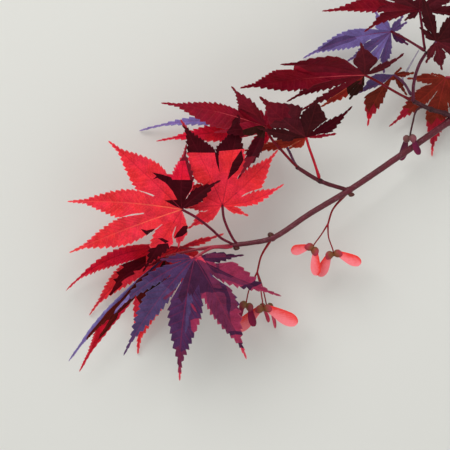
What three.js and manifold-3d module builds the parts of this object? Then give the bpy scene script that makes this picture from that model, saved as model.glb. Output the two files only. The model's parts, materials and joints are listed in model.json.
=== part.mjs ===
// A cut sprig of a red Japanese maple, lying on a level surface: one woody stem, its side shoots,
// fourteen leaves on their stalks, and the winged fruit. Millimetres, +Z up.
import * as THREE from "three";
import { mergeVertices } from "three/addons/utils/BufferGeometryUtils.js";
import Module from "manifold-3d";

const wasm = await Module();
wasm.setup();

// Driving dimensions
const EYE_HEIGHT = 1200; // the sprig is laid out as it looks from straight above, from this height
const BLADE_THICKNESS = 1.0;
const LOBE_HALF_WIDTH = 0.14; // of a lobe's length, at its widest
const WIDEST = 0.45; // a lobe is usually widest this far along it
const LOBE_RISE_POWER = 1.15; // how slowly it widens up to there
const TIP_SHARE = 0.25; // the long drawn-out tip's part in a lobe's width
const TIP_POWER = 0.5;
const SHOULDER = 0.73; // the rest is gone by this share of the way from the widest place to the tip
const LEAST_TIP = 0.45; // half a tip's width
const SMALL_LOBE = 20; // lobes shorter than this are broader and have fewer teeth
const SMALL_LOBE_HALF_WIDTH = 0.18;
const LEAST_WEB = 0.18; // the blade is whole for at least this share of its shorter lobe
const MOST_WEB = 0.38;
const PARTING = 0.93; // past the web a lobe may have this share of its half of the gap
const LOBE_GAP = 0.5; // or all that its neighbour leaves, but for this
const ARCH = 0.05; // a lobe's midrib bows up by this share of its length
const FOLD = 0.18; // and its margins stand up beside the midrib by this share of the half width
const TOOTH_DEPTH = 0.18; // of the half width there
const TEETH = 5;
const SMALL_LOBE_TEETH = 3;
const LEAF_STALK_RADIUS = 0.65;
const LEAF_STALK_FOOT = 0.8; // radius where it leaves the stem
const FRUIT_STALK_RADIUS = 0.5;
const PEDICEL_RADIUS = 0.4;
const NODE_SWELL = 0.32; // a stem is thicker by this share at a node
const NODE_REACH = 1.6; // and over about this length to each side
const NUTLET = { length: 2.2, width: 1.8, height: 1.6 }; // half sizes
const NECK_RADIUS = 0.7; // of the bridge between a pair's nutlets
const WING_THICKNESS = 0.5;
const BUD = { length: 1.5, width: 1.0 }; // half sizes
const CLEARANCE = 0.35; // between two pieces that meet

const WOOD = { color: 0x6d2a3c, roughness: 0.55 };
const GREY_WOOD = { color: 0x9a9298, roughness: 0.8 };
const STALK = { color: 0xa5152e, roughness: 0.45 };
const FRUIT = { color: 0xe9565c, roughness: 0.5 };
const BLADES = {
  scarlet: { color: 0xd81f2e, roughness: 0.55 },
  crimson: { color: 0x8e1626, roughness: 0.55 },
  burgundy: { color: 0x4c121f, roughness: 0.55 },
  russet: { color: 0x7d2018, roughness: 0.55 },
  purple: { color: 0x4b2a4d, roughness: 0.5 },
  lavender: { color: 0x6a5a95, roughness: 0.5 },
};

// Woody limbs, as [x, y, height, radius, node], from the foot to the tip
const STEMS = {
  main_stem: [
    [127.4, 64.0, 1.45, 1.55],
    [113.9, 55.2, 7.5, 1.52, true],
    [100.8, 46.5, 13, 1.48, true],
    [78.8, 31.2, 19.5, 1.4],
    [55.6, 15.5, 24, 1.35, true],
    [38.2, 5.1, 26.5, 1.25],
    [21.2, -5.9, 28, 1.2, true],
    [11.2, -8.1, 28.5, 1.05],
    [2.2, -9.2, 28.5, 1.1, true],
  ],
  middle_shoot: [
    [55.6, 15.6, 24, 0.95],
    [42.8, 19.8, 27, 0.92, true],
    [31.9, 26.3, 29, 0.9, true],
  ],
  upper_shoot: [
    [102.3, 48.6, 13.6, 1.1],
    [99.0, 50.2, 15.6, 1.05, true],
    [92.7, 52.0, 18.5, 1.0, true],
    [84.6, 55.8, 22, 0.95, true],
  ],
  top_shoot: [
    [84.6, 55.8, 22, 0.8],
    [85.0, 63.9, 26, 0.72],
    [87.3, 72.0, 30, 0.7],
    [90.9, 78.1, 33, 0.72, true],
  ],
};

const DRY_TWIG = [
  [85.1, 57.2, 20.2, 0.5],
  [79.9, 65.7, 14.5, 0.45],
  [81.7, 69.1, 13.5, 0.5],
  [87.3, 78.9, 12.5, 0.25],
];

// Leaves. heart: [x, y, height] of the point where stalk and lobes meet. lobes: [heading, reach, rise, bow,
// breadth, widest]: each tip's way from the heart, in degrees anticlockwise from +X and in mm; how far
// the midrib bows anticlockwise, as a share of its length; a factor on the lobe's width, or one for its
// clockwise and one for its anticlockwise side; and where it is widest. Without the last three, the lobe
// is straight and of the usual shape. webs: how far from the heart each two lobes part, in mm, or null for
// the usual place. stalk: [x, y, height] back to the stem.
const LEAVES = {
  left_scarlet_leaf: {
    blade: "scarlet",
    heart: [-19.4, 7, 36],
    lobes: [
      [37, 21.9, 1, 0.045, [1.1, 0.95]],
      [86, 29.6, 0, 0.03, [1.4, 1.15]],
      [137, 45.2, -3, -0.02, 1.22],
      [176, 51.6, -8, -0.03, [0.84, 1.05]],
      [201, 54.3, -12, -0.015, [0.72, 0.85], 0.5],
      [238, 33.3, -8],
      [265, 17.5, -4, 0, [1.2, 1.15], 0.55],
    ],
    webs: [5, 17, 13.5, 16.6, 10.8, 8.1],
    stalk: [[-13, 3.4, 35.6], [-6.2, -1.8, 33.4], [-1.6, -6, 31.6], [1.8, -7.8, 30.2], [3.4, -8.7, 28.6]],
  },
  right_scarlet_leaf: {
    blade: "scarlet",
    heart: [-1.2, 8.9, 31.5],
    lobes: [
      [338, 12.7, -2, 0, [0.6, 0.95]],
      [19, 29.4, -3, -0.07, [0.55, 0.85], 0.5],
      [45, 35.6, -2, -0.02, [1.25, 1]],
      [79, 41.1, 2, 0, [1.2, 1.75]],
      [116, 43, 1, -0.02, [1.4, 1.15]],
      [154, 21, -2.5, 0, [2.2, 1]],
      [184, 17.2, -1.5, 0, [1.2, 0.75]],
      [214, 18.8, -3, 0, [1.2, 0.85]],
    ],
    webs: [5.2, 9.5, 13.5, 23.5, 12.5, 9, 7],
    stalk: [[-0.4, 2.7, 31], [3.6, -6.2, 30], [5.8, -8.8, 28.6]],
  },
  front_purple_leaf: {
    blade: "purple",
    heart: [-13.6, -14.7, 35.5],
    lobes: [
      [183, 15.6, -2, 0, [0.85, 1]],
      [214, 43.5, -9, -0.06, [0.55, 0.42]],
      [234, 54.6, -13, -0.044, [0.77, 0.5]],
      [263, 55.8, -14, -0.03, [0.86, 0.97], 0.41],
      [297, 51.3, -10, 0.028, [0.82, 1.02]],
      [336, 42.7, -5, -0.015, [0.6, 1.15], 0.38],
      [3, 22.3, -1, 0, 0.75],
    ],
    webs: [null, 13, null, 18, 10.9, 9],
    stalk: [[-10.2, -12.6, 35.4], [-5.4, -10.3, 33.6], [0.9, -10.2, 31.5], [3.4, -9.6, 28.8]],
  },
  under_left_leaf: {
    blade: "scarlet",
    heart: [-20.2, -9.9, 18],
    lobes: [
      [201, 55.1, -12, -0.125, [0.4, 0.5]],
      [217, 51.2, -17.4, -0.088, [0.72, 0.55]],
      [248.5, 51.9, -17.4, -0.073, [0.95, 0.9]],
      [285, 28, -8],
      [330, 16, -1],
      [17, 20.7, 3, 0, 0.5],
    ],
    stalk: [[-12, -11, 20.4], [-4, -10.1, 22.8], [1.2, -10.2, 25], [3.8, -9.4, 27.4]],
  },
  edge_lavender_leaf: {
    blade: "lavender",
    heart: [-26.6, -14.4, 25],
    lobes: [
      [206, 9, 1],
      [227, 64.1, -6, -0.068, 0.17, 0.65],
      [233, 64.6, -13, -0.07, [0.8, 0.27]],
      [245, 28, -9, 0, 0.7],
      [268, 12, -6],
    ],
    webs: [null, 41, null, null],
    stalk: [[-19.9, -12.6, 26.2], [-6.3, -9.8, 27.6], [3, -9.3, 28.2]],
  },
  middle_left_leaf: {
    blade: "crimson",
    heart: [18.2, 44.1, 31],
    lobes: [
      [75, 11, 0],
      [130, 24, 4, 0, [0.85, 1.45]],
      [167, 48.3, -9, -0.025, [0.55, 1.05]],
      [186, 23.2, 8, 0, [0.8, 1.1], 0.4],
      [242, 26.5, 7, 0.03, [0.8, 0.75]],
    ],
    webs: [null, 14.5, null, null],
    stalk: [[20.9, 38.9, 31.8], [25.7, 33.3, 31.8], [30.9, 27.6, 30.4], [32.6, 26.1, 29.3]],
  },
  middle_back_leaf: {
    blade: "crimson",
    heart: [21.6, 42.3, 20],
    lobes: [
      [100, 14, 0],
      [140, 20, -3],
      [180, 60.3, -19.4, -0.06, [0.26, 0.22]],
      [185, 52.8, -8, -0.017, [0.5, 0.56]],
      [221, 17.2, -4],
    ],
    stalk: [[27.5, 35.6, 22.5], [31.2, 28.2, 26.2], [32.5, 26.2, 28.1]],
  },
  middle_right_leaf: {
    blade: "burgundy",
    heart: [36.5, 39.5, 33],
    lobes: [
      [7, 13.7, 1, 0, [0.3, 0.5]],
      [34, 25.1, 4, -0.038, 0.8],
      [74, 19, 8, 0, [1.9, 1.5], 0.52],
      [139, 27.9, 10, 0, [2.6, 1.75]],
      [169, 22.4, 3],
      [192, 29, -13, 0, [0.65, 0.5]],
      [213, 9.2, -4, 0, 1.4],
    ],
    webs: [null, null, 10.6, null, null, null],
    stalk: [[37.6, 35.5, 32.3], [39.8, 29.3, 30.5], [42.5, 21, 28]],
  },
  upper_front_leaf: {
    blade: "crimson",
    heart: [62.8, 67.5, 33],
    lobes: [
      [29, 20.3, 8, -0.03, [0.3, 1]],
      [97, 14.9, 9, -0.05, [2, 1.8]],
      [173, 38.2, 3, -0.082, [1.35, 0.7], 0.38],
      [186, 56.3, -6, -0.055, [1.3, 0.7], 0.58],
      [199, 37.1, -14, -0.08, [0.9, 0.5]],
      [209, 33.9, -20, -0.03, 0.38],
      [216, 24.4, -17, 0, [1.3, 0.6]],
      [238, 13, -11, 0, [1.5, 0.8]],
    ],
    webs: [null, 5, 31.5, null, 9, null, null],
    stalk: [[68.2, 64.8, 31.6], [77, 59.7, 27.2], [83.6, 56.2, 23]],
  },
  upper_lavender_leaf: {
    blade: "lavender",
    heart: [74.8, 87.1, 17],
    lobes: [
      [322, 9.8, -3, 0, 1.1],
      [31, 8.4, 0, 0, 0.8],
      [53, 9, 1],
      [129, 12, 3, 0, [1, 1.9]],
      [197, 41.6, -16.4, -0.071, [0.7, 0.7], 0.42],
      [214, 24, -12, 0, 0.8],
      [235, 21, -11],
      [260, 19.2, -11, -0.035, [0.95, 0.8]],
    ],
    stalk: [[81.5, 83.6, 22], [90, 78.4, 31.8]],
  },
  top_crimson_leaf: {
    blade: "crimson",
    heart: [87.5, 97, 36],
    lobes: [
      [330, 8, -2, 0, 0.8],
      [355, 25.1, -2, 0, [0.3, 1]],
      [30, 26.3, 3],
      [89, 24.5, 8],
      [146, 29.7, 5],
      [181, 43.9, -2, -0.034, [1, 0.27]],
      [202, 26.9, -7, -0.078, [1.15, 0.35]],
      [216, 8.4, -4],
    ],
    stalk: [[88.4, 91, 36], [89.5, 82, 35.6], [90, 79, 34]],
  },
  right_burgundy_leaf: {
    blade: "burgundy",
    heart: [95.1, 82.7, 38],
    lobes: [
      [244, 11, -3],
      [281, 13.4, -5, 0, [1.4, 1.15]],
      [335, 19.8, -5],
      [14, 24.9, -2],
      [55, 20.3, 2, 0, [1, 0.75]],
      [107, 24, 6, 0, [0.7, 1]],
      [140, 9.9, 1],
    ],
    stalk: [[94, 81.2, 36.8], [92, 78.5, 33.8]],
  },
  right_russet_leaf: {
    blade: "russet",
    heart: [99.4, 66.5, 9],
    lobes: [
      [166, 7, 1, 0, 0.6],
      [182, 17.7, 0, 0, 0.8],
      [221, 34, -4, 0, [1, 0.6]],
      [260, 36.3, -8.4, -0.035, [1, 0.9]],
      [293, 28.2, -6],
      [328, 14, -2],
    ],
    webs: [null, null, 7.2, null, null],
    stalk: [[106, 65.8, 11], [112.6, 59.4, 10]],
  },
  edge_russet_leaf: {
    blade: "russet",
    heart: [76, 67.7, 19],
    lobes: [
      [207, 18.3, -4, 0, [1.5, 0.3]],
      [243, 26.1, -9, -0.09, [1.4, 0.8], 0.52],
      [302, 11, -6, 0, 0.5],
      [5, 9.3, 0, 0, 0.8],
      [43, 4.7, 2, 0, 0.6],
    ],
    stalk: [[80.5, 63.9, 20], [83.8, 58.4, 21.4]],
  },
};

// Fruit stalks, as lists of [x, y, height] from the stem down, the first list being the shared stalk
const FRUIT_STALKS = {
  middle_fruit_stalk: [
    [[55.4, 14.8, 23.6], [48.6, 7.1, 22], [46.3, 0.4, 21]],
    [[46.3, 0.4, 21], [43.0, -4.8, 20.6], [40.1, -8.8, 20.2], [39.3, -10.8, 19.8]],
    [[46.3, 0.4, 21], [46.6, -5.4, 18.6], [48.6, -11.4, 16.6], [48.8, -13.2, 16]],
  ],
  lower_fruit_stalk: [
    [[20.4, -7.0, 27.4], [16.3, -14.0, 23], [14.5, -21.2, 20]],
    [[14.5, -21.2, 20], [10.9, -29.0, 17.4], [9.7, -34.2, 16.4], [9.5, -36.6, 16.1]],
    [[14.5, -21.2, 20], [15.8, -27.4, 18.6], [17.0, -35.4, 16.4], [17.3, -37.8, 15.8]],
    [[14.5, -21.2, 20], [16.6, -27.0, 14.6], [18.4, -34.6, 9.6], [18.8, -37.0, 8.4]],
  ],
  upper_fruit_stalk: [
    [[89.1, 53.1, 20], [87.0, 52.4, 21.8], [85.5, 50.2, 23], [84.7, 47.0, 24], [83.4, 41.0, 22.6], [83.2, 38.8, 21]],
  ],
};

// Winged fruit, in pairs. Each half is its nutlet's centre and its wing's tip, as [x, y, height], and the
// wing's turn about its length in degrees. Wings without a turn face up. size is a factor on the nutlets.
const FRUITS = {
  middle_fruit_left: {
    size: 1,
    wingWidth: 4.4,
    halves: [
      { nutlet: [37.9, -9.9, 20], tip: [29.7, -10.5, 21], turn: 0 },
      { nutlet: [40.5, -11.9, 19.6], tip: [42.3, -22.5, 19], turn: 15 },
    ],
  },
  middle_fruit_right: {
    size: 1,
    wingWidth: 4.8,
    halves: [
      { nutlet: [46.9, -13.7, 16], tip: [41.3, -22.4, 13], turn: 0 },
      { nutlet: [50.9, -12.9, 16], tip: [61.5, -16.0, 17], turn: 0 },
    ],
  },
  lower_fruit_left: {
    size: 1,
    wingWidth: 3.9,
    halves: [
      { nutlet: [8.1, -36.1, 16.2], tip: [3.4, -43.0, 18.5], turn: 40 },
      { nutlet: [11.1, -37.1, 16], tip: [14.0, -45.2, 17.4], turn: 38 },
    ],
  },
  lower_fruit_front: {
    size: 1,
    wingWidth: 6,
    halves: [
      { nutlet: [15.4, -38.0, 15.8], tip: [4.1, -45.9, 9], turn: 20 },
      { nutlet: [19.3, -37.6, 15.8], tip: [33.1, -42.7, 18], turn: 0 },
    ],
  },
  lower_fruit_back: {
    size: 0.9,
    wingWidth: 3.3,
    halves: [
      { nutlet: [17.0, -37.0, 8.4], tip: [19.2, -43.8, 8], turn: 65 },
      { nutlet: [20.4, -36.9, 8.4], tip: [22.9, -46.4, 9], turn: -65 },
    ],
  },
  upper_fruit: {
    size: 0.95,
    wingWidth: 3.4,
    halves: [
      { nutlet: [81.7, 38.7, 19.4], tip: [78.4, 29.4, 8.4], turn: 10 },
      { nutlet: [84.6, 38.9, 22], tip: [88.2, 32.2, 23.4], turn: 40 },
    ],
  },
};

// Buds on the main stem, as [x, y, height] of the middle
const BUDS = [
  [5.2, -10.4, 28.2],
  [20.6, -4.3, 28.6],
  [56.9, 13.7, 24.2],
];

// The place of a point that is seen from the eye at x, y, and lies at that height
function seen([x, y, height]) {
  const pull = 1 - height / EYE_HEIGHT;
  return new THREE.Vector3(x * pull, y * pull, height);
}

// A closed geometry as a solid of the boolean library
function solidOf(geometry) {
  const bare = geometry.clone();
  bare.deleteAttribute("normal");
  bare.deleteAttribute("uv");
  const merged = mergeVertices(bare, 1e-4);
  return new wasm.Manifold(
    new wasm.Mesh({
      numProp: 3,
      vertProperties: new Float32Array(merged.attributes.position.array),
      triVerts: new Uint32Array(merged.index.array),
    }),
  );
}

function geometryOf(solid) {
  const mesh = solid.getMesh();
  const geometry = new THREE.BufferGeometry();
  geometry.setAttribute("position", new THREE.BufferAttribute(mesh.vertProperties, 3));
  geometry.setIndex(new THREE.BufferAttribute(mesh.triVerts, 1));
  const flat = geometry.toNonIndexed();
  flat.computeVertexNormals();
  return flat;
}

function indexed(points, triangles) {
  const geometry = new THREE.BufferGeometry().setFromPoints(points);
  geometry.setIndex(triangles);
  return geometry;
}

// Round limb along a smooth line through stations of { point, radius, node }, with flat ends. extra makes
// it thicker and longer all round.
function limb(stations, { step, sides, extra = 0 }) {
  const line = stations.map((s) => s.point.clone());
  for (const [end, next] of [[0, 1], [line.length - 1, line.length - 2]])
    line[end].addScaledVector(line[end].clone().sub(line[next]).normalize(), extra);
  const curve = new THREE.CatmullRomCurve3(line, false, "centripetal");
  const count = Math.max(2, Math.round(curve.getLength() / step));
  const frames = curve.computeFrenetFrames(count);
  const rings = [];
  for (let i = 0; i <= count; i++) {
    const centre = curve.getPointAt(i / count);
    const along = curve.getUtoTmapping(i / count) * (stations.length - 1);
    const low = Math.min(Math.floor(along), stations.length - 2);
    const plain = THREE.MathUtils.lerp(stations[low].radius, stations[low + 1].radius, along - low);
    const swell = stations
      .filter((s) => s.node)
      .reduce((sum, s) => sum + Math.exp(-((centre.distanceTo(s.point) / NODE_REACH) ** 2)), 0);
    const radius = plain * (1 + NODE_SWELL * Math.min(1, swell)) + extra;
    for (let k = 0; k < sides; k++) {
      const angle = (2 * Math.PI * k) / sides;
      rings.push(
        centre
          .clone()
          .addScaledVector(frames.normals[i], radius * Math.cos(angle))
          .addScaledVector(frames.binormals[i], radius * Math.sin(angle)),
      );
    }
  }
  const triangles = [];
  for (let i = 0; i < count; i++)
    for (let k = 0; k < sides; k++) {
      const a = i * sides + k;
      const b = i * sides + ((k + 1) % sides);
      triangles.push(a, b, b + sides, a, b + sides, a + sides);
    }
  const last = count * sides;
  for (let k = 1; k < sides - 1; k++) {
    triangles.push(0, k + 1, k);
    triangles.push(last, last + k, last + k + 1);
  }
  return solidOf(indexed(rings, triangles));
}

function stationsOf(rows) {
  return rows.map(([x, y, height, radius, node]) => ({ point: seen([x, y, height]), radius, node }));
}

function plainStations(route, footRadius, radius) {
  return route.map((row, i) => ({ point: seen(row), radius: i === 0 ? footRadius : radius }));
}

// How wide a lobe is along its length, from 0 at both ends to 1 at its widest
function lobeShape(t, widest) {
  if (t < widest) return Math.sin(((Math.PI / 2) * t) / widest) ** LOBE_RISE_POWER;
  const x = Math.min(1, (t - widest) / (1 - widest));
  const bell = (1 - Math.min(1, x / SHOULDER) ** 1.6) ** 1.2;
  return (1 - TIP_SHARE) * bell + TIP_SHARE * (1 - x) ** TIP_POWER;
}

// Half the width of a lobe. side is 1 on its anticlockwise side and -1 on the other.
function widthAt(lobe, t, side) {
  return lobe.halfWidths[side] * lobeShape(t, lobe.widest);
}

// Where two neighbouring lobes part: the furthest distance at which this lobe still fills its half of the gap
function partingRadius(lobe, side, halfAngle) {
  let share = MOST_WEB;
  while (share > LEAST_WEB && widthAt(lobe, share, side) < share * lobe.length * Math.tan(halfAngle))
    share -= 0.01;
  return (share * lobe.length) / Math.cos(halfAngle);
}

function readLobes(heart, rows) {
  const origin = seen(heart);
  return rows.map(([heading, reach, rise, bow = 0, breadth = 1, widest = WIDEST]) => {
    const angle = THREE.MathUtils.degToRad(heading);
    const tip = seen([
      heart[0] + reach * Math.cos(angle),
      heart[1] + reach * Math.sin(angle),
      heart[2] + rise,
    ]);
    const way = tip.sub(origin);
    const length = way.length();
    const small = length < SMALL_LOBE;
    const forward = way.divideScalar(length);
    const usual = length * (small ? SMALL_LOBE_HALF_WIDTH : LOBE_HALF_WIDTH);
    const [clockwise, anticlockwise] = Array.isArray(breadth) ? breadth : [breadth, breadth];
    return {
      length,
      small,
      forward,
      bow,
      sideways: new THREE.Vector3(-Math.sin(angle), Math.cos(angle), 0),
      halfWidths: { [-1]: usual * clockwise, 1: usual * anticlockwise },
      widest,
    };
  });
}

// The direction that the blade faces: each pair of neighbouring lobes counts by the area that it spans
function facing(lobes) {
  const sum = new THREE.Vector3();
  for (let i = 0; i + 1 < lobes.length; i++) {
    const span = new THREE.Vector3().crossVectors(lobes[i].forward, lobes[i + 1].forward);
    sum.addScaledVector(span, lobes[i].length * lobes[i + 1].length);
  }
  return sum.normalize();
}

// How far a lobe's midrib lies to its anticlockwise side, at a distance from the heart
function bowAt(lobe, distance) {
  const t = Math.min(1, distance / lobe.length);
  return 4 * lobe.bow * lobe.length * t * (1 - t);
}

function midribPoint(origin, lobe, up, t) {
  return origin
    .clone()
    .addScaledVector(lobe.forward, t * lobe.length)
    .addScaledVector(lobe.sideways, bowAt(lobe, t * lobe.length))
    .addScaledVector(up, 4 * ARCH * lobe.length * t * (1 - t));
}

// The point on the blade beside a lobe's midrib
function marginPoint(origin, lobe, up, t, halfWidth, side) {
  return midribPoint(origin, lobe, up, t)
    .addScaledVector(lobe.across, side * halfWidth)
    .addScaledVector(up, FOLD * halfWidth);
}

// One side of a lobe's margin, from where it leaves the web to the tip, as stations of { t, point }
function toothedMargin(origin, lobe, up, web, side) {
  const teeth = lobe.small ? SMALL_LOBE_TEETH : TEETH;
  const start = web ? web.along / lobe.length : 0;
  const stations = [];
  for (let i = 0; i < teeth; i++)
    for (const [share, out] of [[0.12, -1], [0.86, 1]]) {
      const t = start + ((1 - start) * (i + share)) / (teeth + 0.25);
      const plain = Math.max(widthAt(lobe, t, side), LEAST_TIP * Math.min(1, (1 - t) / 0.05));
      let width = plain * (1 + (out * TOOTH_DEPTH) / 2);
      if (web) width = Math.min(width, web.roomFor(lobe, t * lobe.length, side));
      stations.push({ t, point: marginPoint(origin, lobe, up, t, width, side) });
    }
  return stations;
}

// A palmate blade as a solid of even thickness
function bladeSolid({ heart, lobes: rows, webs: radii = [] }) {
  const origin = seen(heart);
  const lobes = readLobes(heart, rows);
  const up = facing(lobes);
  for (const lobe of lobes) lobe.across = new THREE.Vector3().crossVectors(up, lobe.forward).normalize();

  const webs = [];
  for (let i = 0; i + 1 < lobes.length; i++) {
    const pair = [lobes[i], lobes[i + 1]];
    const halfAngle = pair[0].forward.angleTo(pair[1].forward) / 2;
    const usual = Math.min(partingRadius(pair[0], 1, halfAngle), partingRadius(pair[1], -1, halfAngle));
    const radius = radii[i] ?? usual;
    const along = radius * Math.cos(halfAngle);
    const middle = pair[0].forward.clone().add(pair[1].forward).normalize();
    const lift = pair.reduce((sum, lobe) => {
      const t = along / lobe.length;
      return sum + (4 * ARCH * lobe.length * t * (1 - t)) / 2;
    }, FOLD * radius * Math.sin(halfAngle));
    // The line between two lobes bows by the mean of their bows
    const bowed = (distance) => (bowAt(pair[0], distance) + bowAt(pair[1], distance)) / 2;
    const roomFor = (lobe, distance, side) => {
      const other = pair[lobe === pair[0] ? 1 : 0];
      const across = side * (bowAt(other, distance) - bowAt(lobe, distance));
      const between = 2 * distance * Math.tan(halfAngle) + across;
      const left = between - widthAt(other, Math.min(1, distance / other.length), -side) - LOBE_GAP;
      return Math.max((PARTING * between) / 2, left);
    };
    const point = origin
      .clone()
      .addScaledVector(middle, radius)
      .addScaledVector(pair[0].sideways.clone().add(pair[1].sideways).normalize(), bowed(along))
      .addScaledVector(up, lift);
    webs.push({ along, point, roomFor });
  }

  const points = [origin];
  const add = (point) => points.push(point) - 1;
  webs.forEach((web) => (web.index = add(web.point)));
  const top = [];
  const rim = [0];
  lobes.forEach((lobe, i) => {
    const before = webs[i - 1];
    const after = webs[i];
    const right = toothedMargin(origin, lobe, up, before, -1);
    const left = toothedMargin(origin, lobe, up, after, 1);
    const tip = add(origin.clone().addScaledVector(lobe.forward, lobe.length));
    const rightRim = [before ? before.index : 0, ...right.map((s) => add(s.point)), tip];
    const leftRim = [after ? after.index : 0, ...left.map((s) => add(s.point)), tip];
    // The midrib has one station for each tooth, level with the notch that the tooth springs from
    const rib = [0];
    for (let k = 0; k < right.length; k += 2)
      rib.push(add(midribPoint(origin, lobe, up, (right[k].t + left[k].t) / 2)));
    rib.push(tip);
    for (const [side, turned] of [[rightRim, true], [leftRim, false]]) {
      const face = (a, b, c) => top.push(...(turned ? [a, c, b] : [a, b, c]));
      if (side[0] !== 0) face(0, rib[1], side[0]);
      face(side[0], rib[1], side[1]);
      for (let k = 1; k + 1 < rib.length; k++) {
        const notch = side[2 * k - 1];
        const point = side[2 * k];
        const next = side[2 * k + 1];
        face(rib[k], point, notch);
        face(rib[k], rib[k + 1], point);
        if (next !== tip) face(rib[k + 1], next, point);
      }
    }
    if (before) rim.push(before.index);
    rim.push(...rightRim.slice(1), ...leftRim.slice(1, -1).reverse());
  });

  const half = up.clone().multiplyScalar(BLADE_THICKNESS / 2);
  const upper = points.map((p) => p.clone().add(half));
  const lower = points.map((p) => p.clone().sub(half));
  const count = points.length;
  const triangles = [...top];
  for (let i = 0; i < top.length; i += 3)
    triangles.push(top[i] + count, top[i + 2] + count, top[i + 1] + count);
  rim.forEach((a, i) => {
    const b = rim[(i + 1) % rim.length];
    triangles.push(a, a + count, b + count, a, b + count, b);
  });
  return solidOf(indexed([...upper, ...lower], triangles));
}

function leafSolid(leaf) {
  const route = [leaf.heart, ...leaf.stalk];
  const stations = plainStations(route, LEAF_STALK_RADIUS, LEAF_STALK_RADIUS);
  stations[stations.length - 1].radius = LEAF_STALK_FOOT;
  return bladeSolid(leaf).add(limb(stations, { step: 4.5, sides: 6 }));
}

function fruitStalkSolid([shared, ...branches]) {
  return branches.reduce(
    (solid, branch) =>
      solid.add(limb(plainStations(branch, FRUIT_STALK_RADIUS, PEDICEL_RADIUS), { step: 4, sides: 6 })),
    limb(plainStations(shared, FRUIT_STALK_RADIUS, FRUIT_STALK_RADIUS), { step: 4, sides: 6 }),
  );
}

// Where a half fruit lies: its length runs along X, its wing's breadth along Y, and the thick edge of the
// wing is on the +Y side, away from the other half
function halfFruitFrame({ nutlet, tip, turn }, other) {
  const centre = seen(nutlet);
  const forward = seen(tip).sub(centre).normalize();
  const away = seen(tip).sub(seen(other.tip));
  const across = new THREE.Vector3(0, 0, 1).cross(forward).normalize();
  if (across.dot(away) < 0) across.negate();
  across.applyAxisAngle(forward, THREE.MathUtils.degToRad(turn));
  const up = new THREE.Vector3().crossVectors(forward, across);
  return new THREE.Matrix4().makeBasis(forward, across, up).setPosition(centre);
}

// A pair's nutlets and the bridge between them
function nutletsSolid({ halves, size }, extra = 0) {
  const nuts = halves.map((half, i) => {
    const nut = new THREE.SphereGeometry(1, 8, 5);
    nut.scale(...[NUTLET.length, NUTLET.width, NUTLET.height].map((s) => s * size + extra));
    return solidOf(nut.applyMatrix4(halfFruitFrame(half, halves[1 - i])));
  });
  const neck = plainStations(halves.map((half) => half.nutlet), NECK_RADIUS, NECK_RADIUS);
  return nuts[0].add(nuts[1]).add(limb(neck, { step: 3, sides: 6, extra }));
}

// A wing is a paddle: narrow at the nutlet, widest near its round end, with one straighter edge
function wingSolid(half, other, w) {
  const reach = seen(half.tip).distanceTo(seen(half.nutlet));
  const paddle = new THREE.Shape();
  paddle.moveTo(0, -w * 0.26);
  paddle.bezierCurveTo(reach * 0.25, -w * 0.4, reach * 0.45, -w * 0.7, reach * 0.7, -w * 0.76);
  paddle.bezierCurveTo(reach * 0.88, -w * 0.8, reach, -w * 0.6, reach, -w * 0.18);
  paddle.bezierCurveTo(reach * 0.97, 0, reach * 0.88, w * 0.2, reach * 0.65, w * 0.3);
  paddle.bezierCurveTo(reach * 0.45, w * 0.34, reach * 0.2, w * 0.3, 0, w * 0.27);
  paddle.closePath();
  const wing = new THREE.ExtrudeGeometry(paddle, {
    depth: WING_THICKNESS,
    bevelEnabled: false,
    curveSegments: 3,
  });
  wing.translate(0, 0, -WING_THICKNESS / 2);
  return solidOf(wing.applyMatrix4(halfFruitFrame(half, other)));
}

function budSolid(centre) {
  const bud = new THREE.SphereGeometry(1, 8, 6);
  bud.scale(BUD.length, BUD.width, BUD.width);
  const at = seen(centre);
  return solidOf(bud.translate(at.x, at.y, at.z));
}

const part = new THREE.Group();
const sprig = new THREE.Group();
part.add(sprig);

function place(name, solid, finish) {
  const mesh = new THREE.Mesh(geometryOf(solid), new THREE.MeshStandardMaterial({ metalness: 0, ...finish }));
  mesh.name = name;
  sprig.add(mesh);
}

// Limbs: each side shoot is cut clear of the limb that carries it
const limbs = {};
const keepClear = {};
for (const [name, rows] of Object.entries(STEMS)) {
  const size = { step: name === "main_stem" ? 4.8 : 3.4, sides: name === "main_stem" ? 10 : 8 };
  limbs[name] = limb(stationsOf(rows), size);
  keepClear[name] = limb(stationsOf(rows), { ...size, extra: CLEARANCE });
}
for (const centre of BUDS) limbs.main_stem = limbs.main_stem.add(budSolid(centre));
limbs.middle_shoot = limbs.middle_shoot.subtract(keepClear.main_stem);
limbs.upper_shoot = limbs.upper_shoot.subtract(keepClear.main_stem);
limbs.top_shoot = limbs.top_shoot.subtract(keepClear.upper_shoot);
for (const [name, solid] of Object.entries(limbs)) place(name, solid, WOOD);

// The largest piece of a solid that a cut may have split
function largestPiece(solid) {
  return solid.decompose().reduce((a, b) => (a.volume() > b.volume() ? a : b));
}

function clearOfLimbs(solid) {
  return largestPiece(Object.values(keepClear).reduce((rest, cut) => rest.subtract(cut), solid));
}

place("dry_twig", clearOfLimbs(limb(stationsOf(DRY_TWIG), { step: 3, sides: 6 })), GREY_WOOD);
for (const [name, leaf] of Object.entries(LEAVES))
  place(name, clearOfLimbs(leafSolid(leaf)), BLADES[leaf.blade]);

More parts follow.
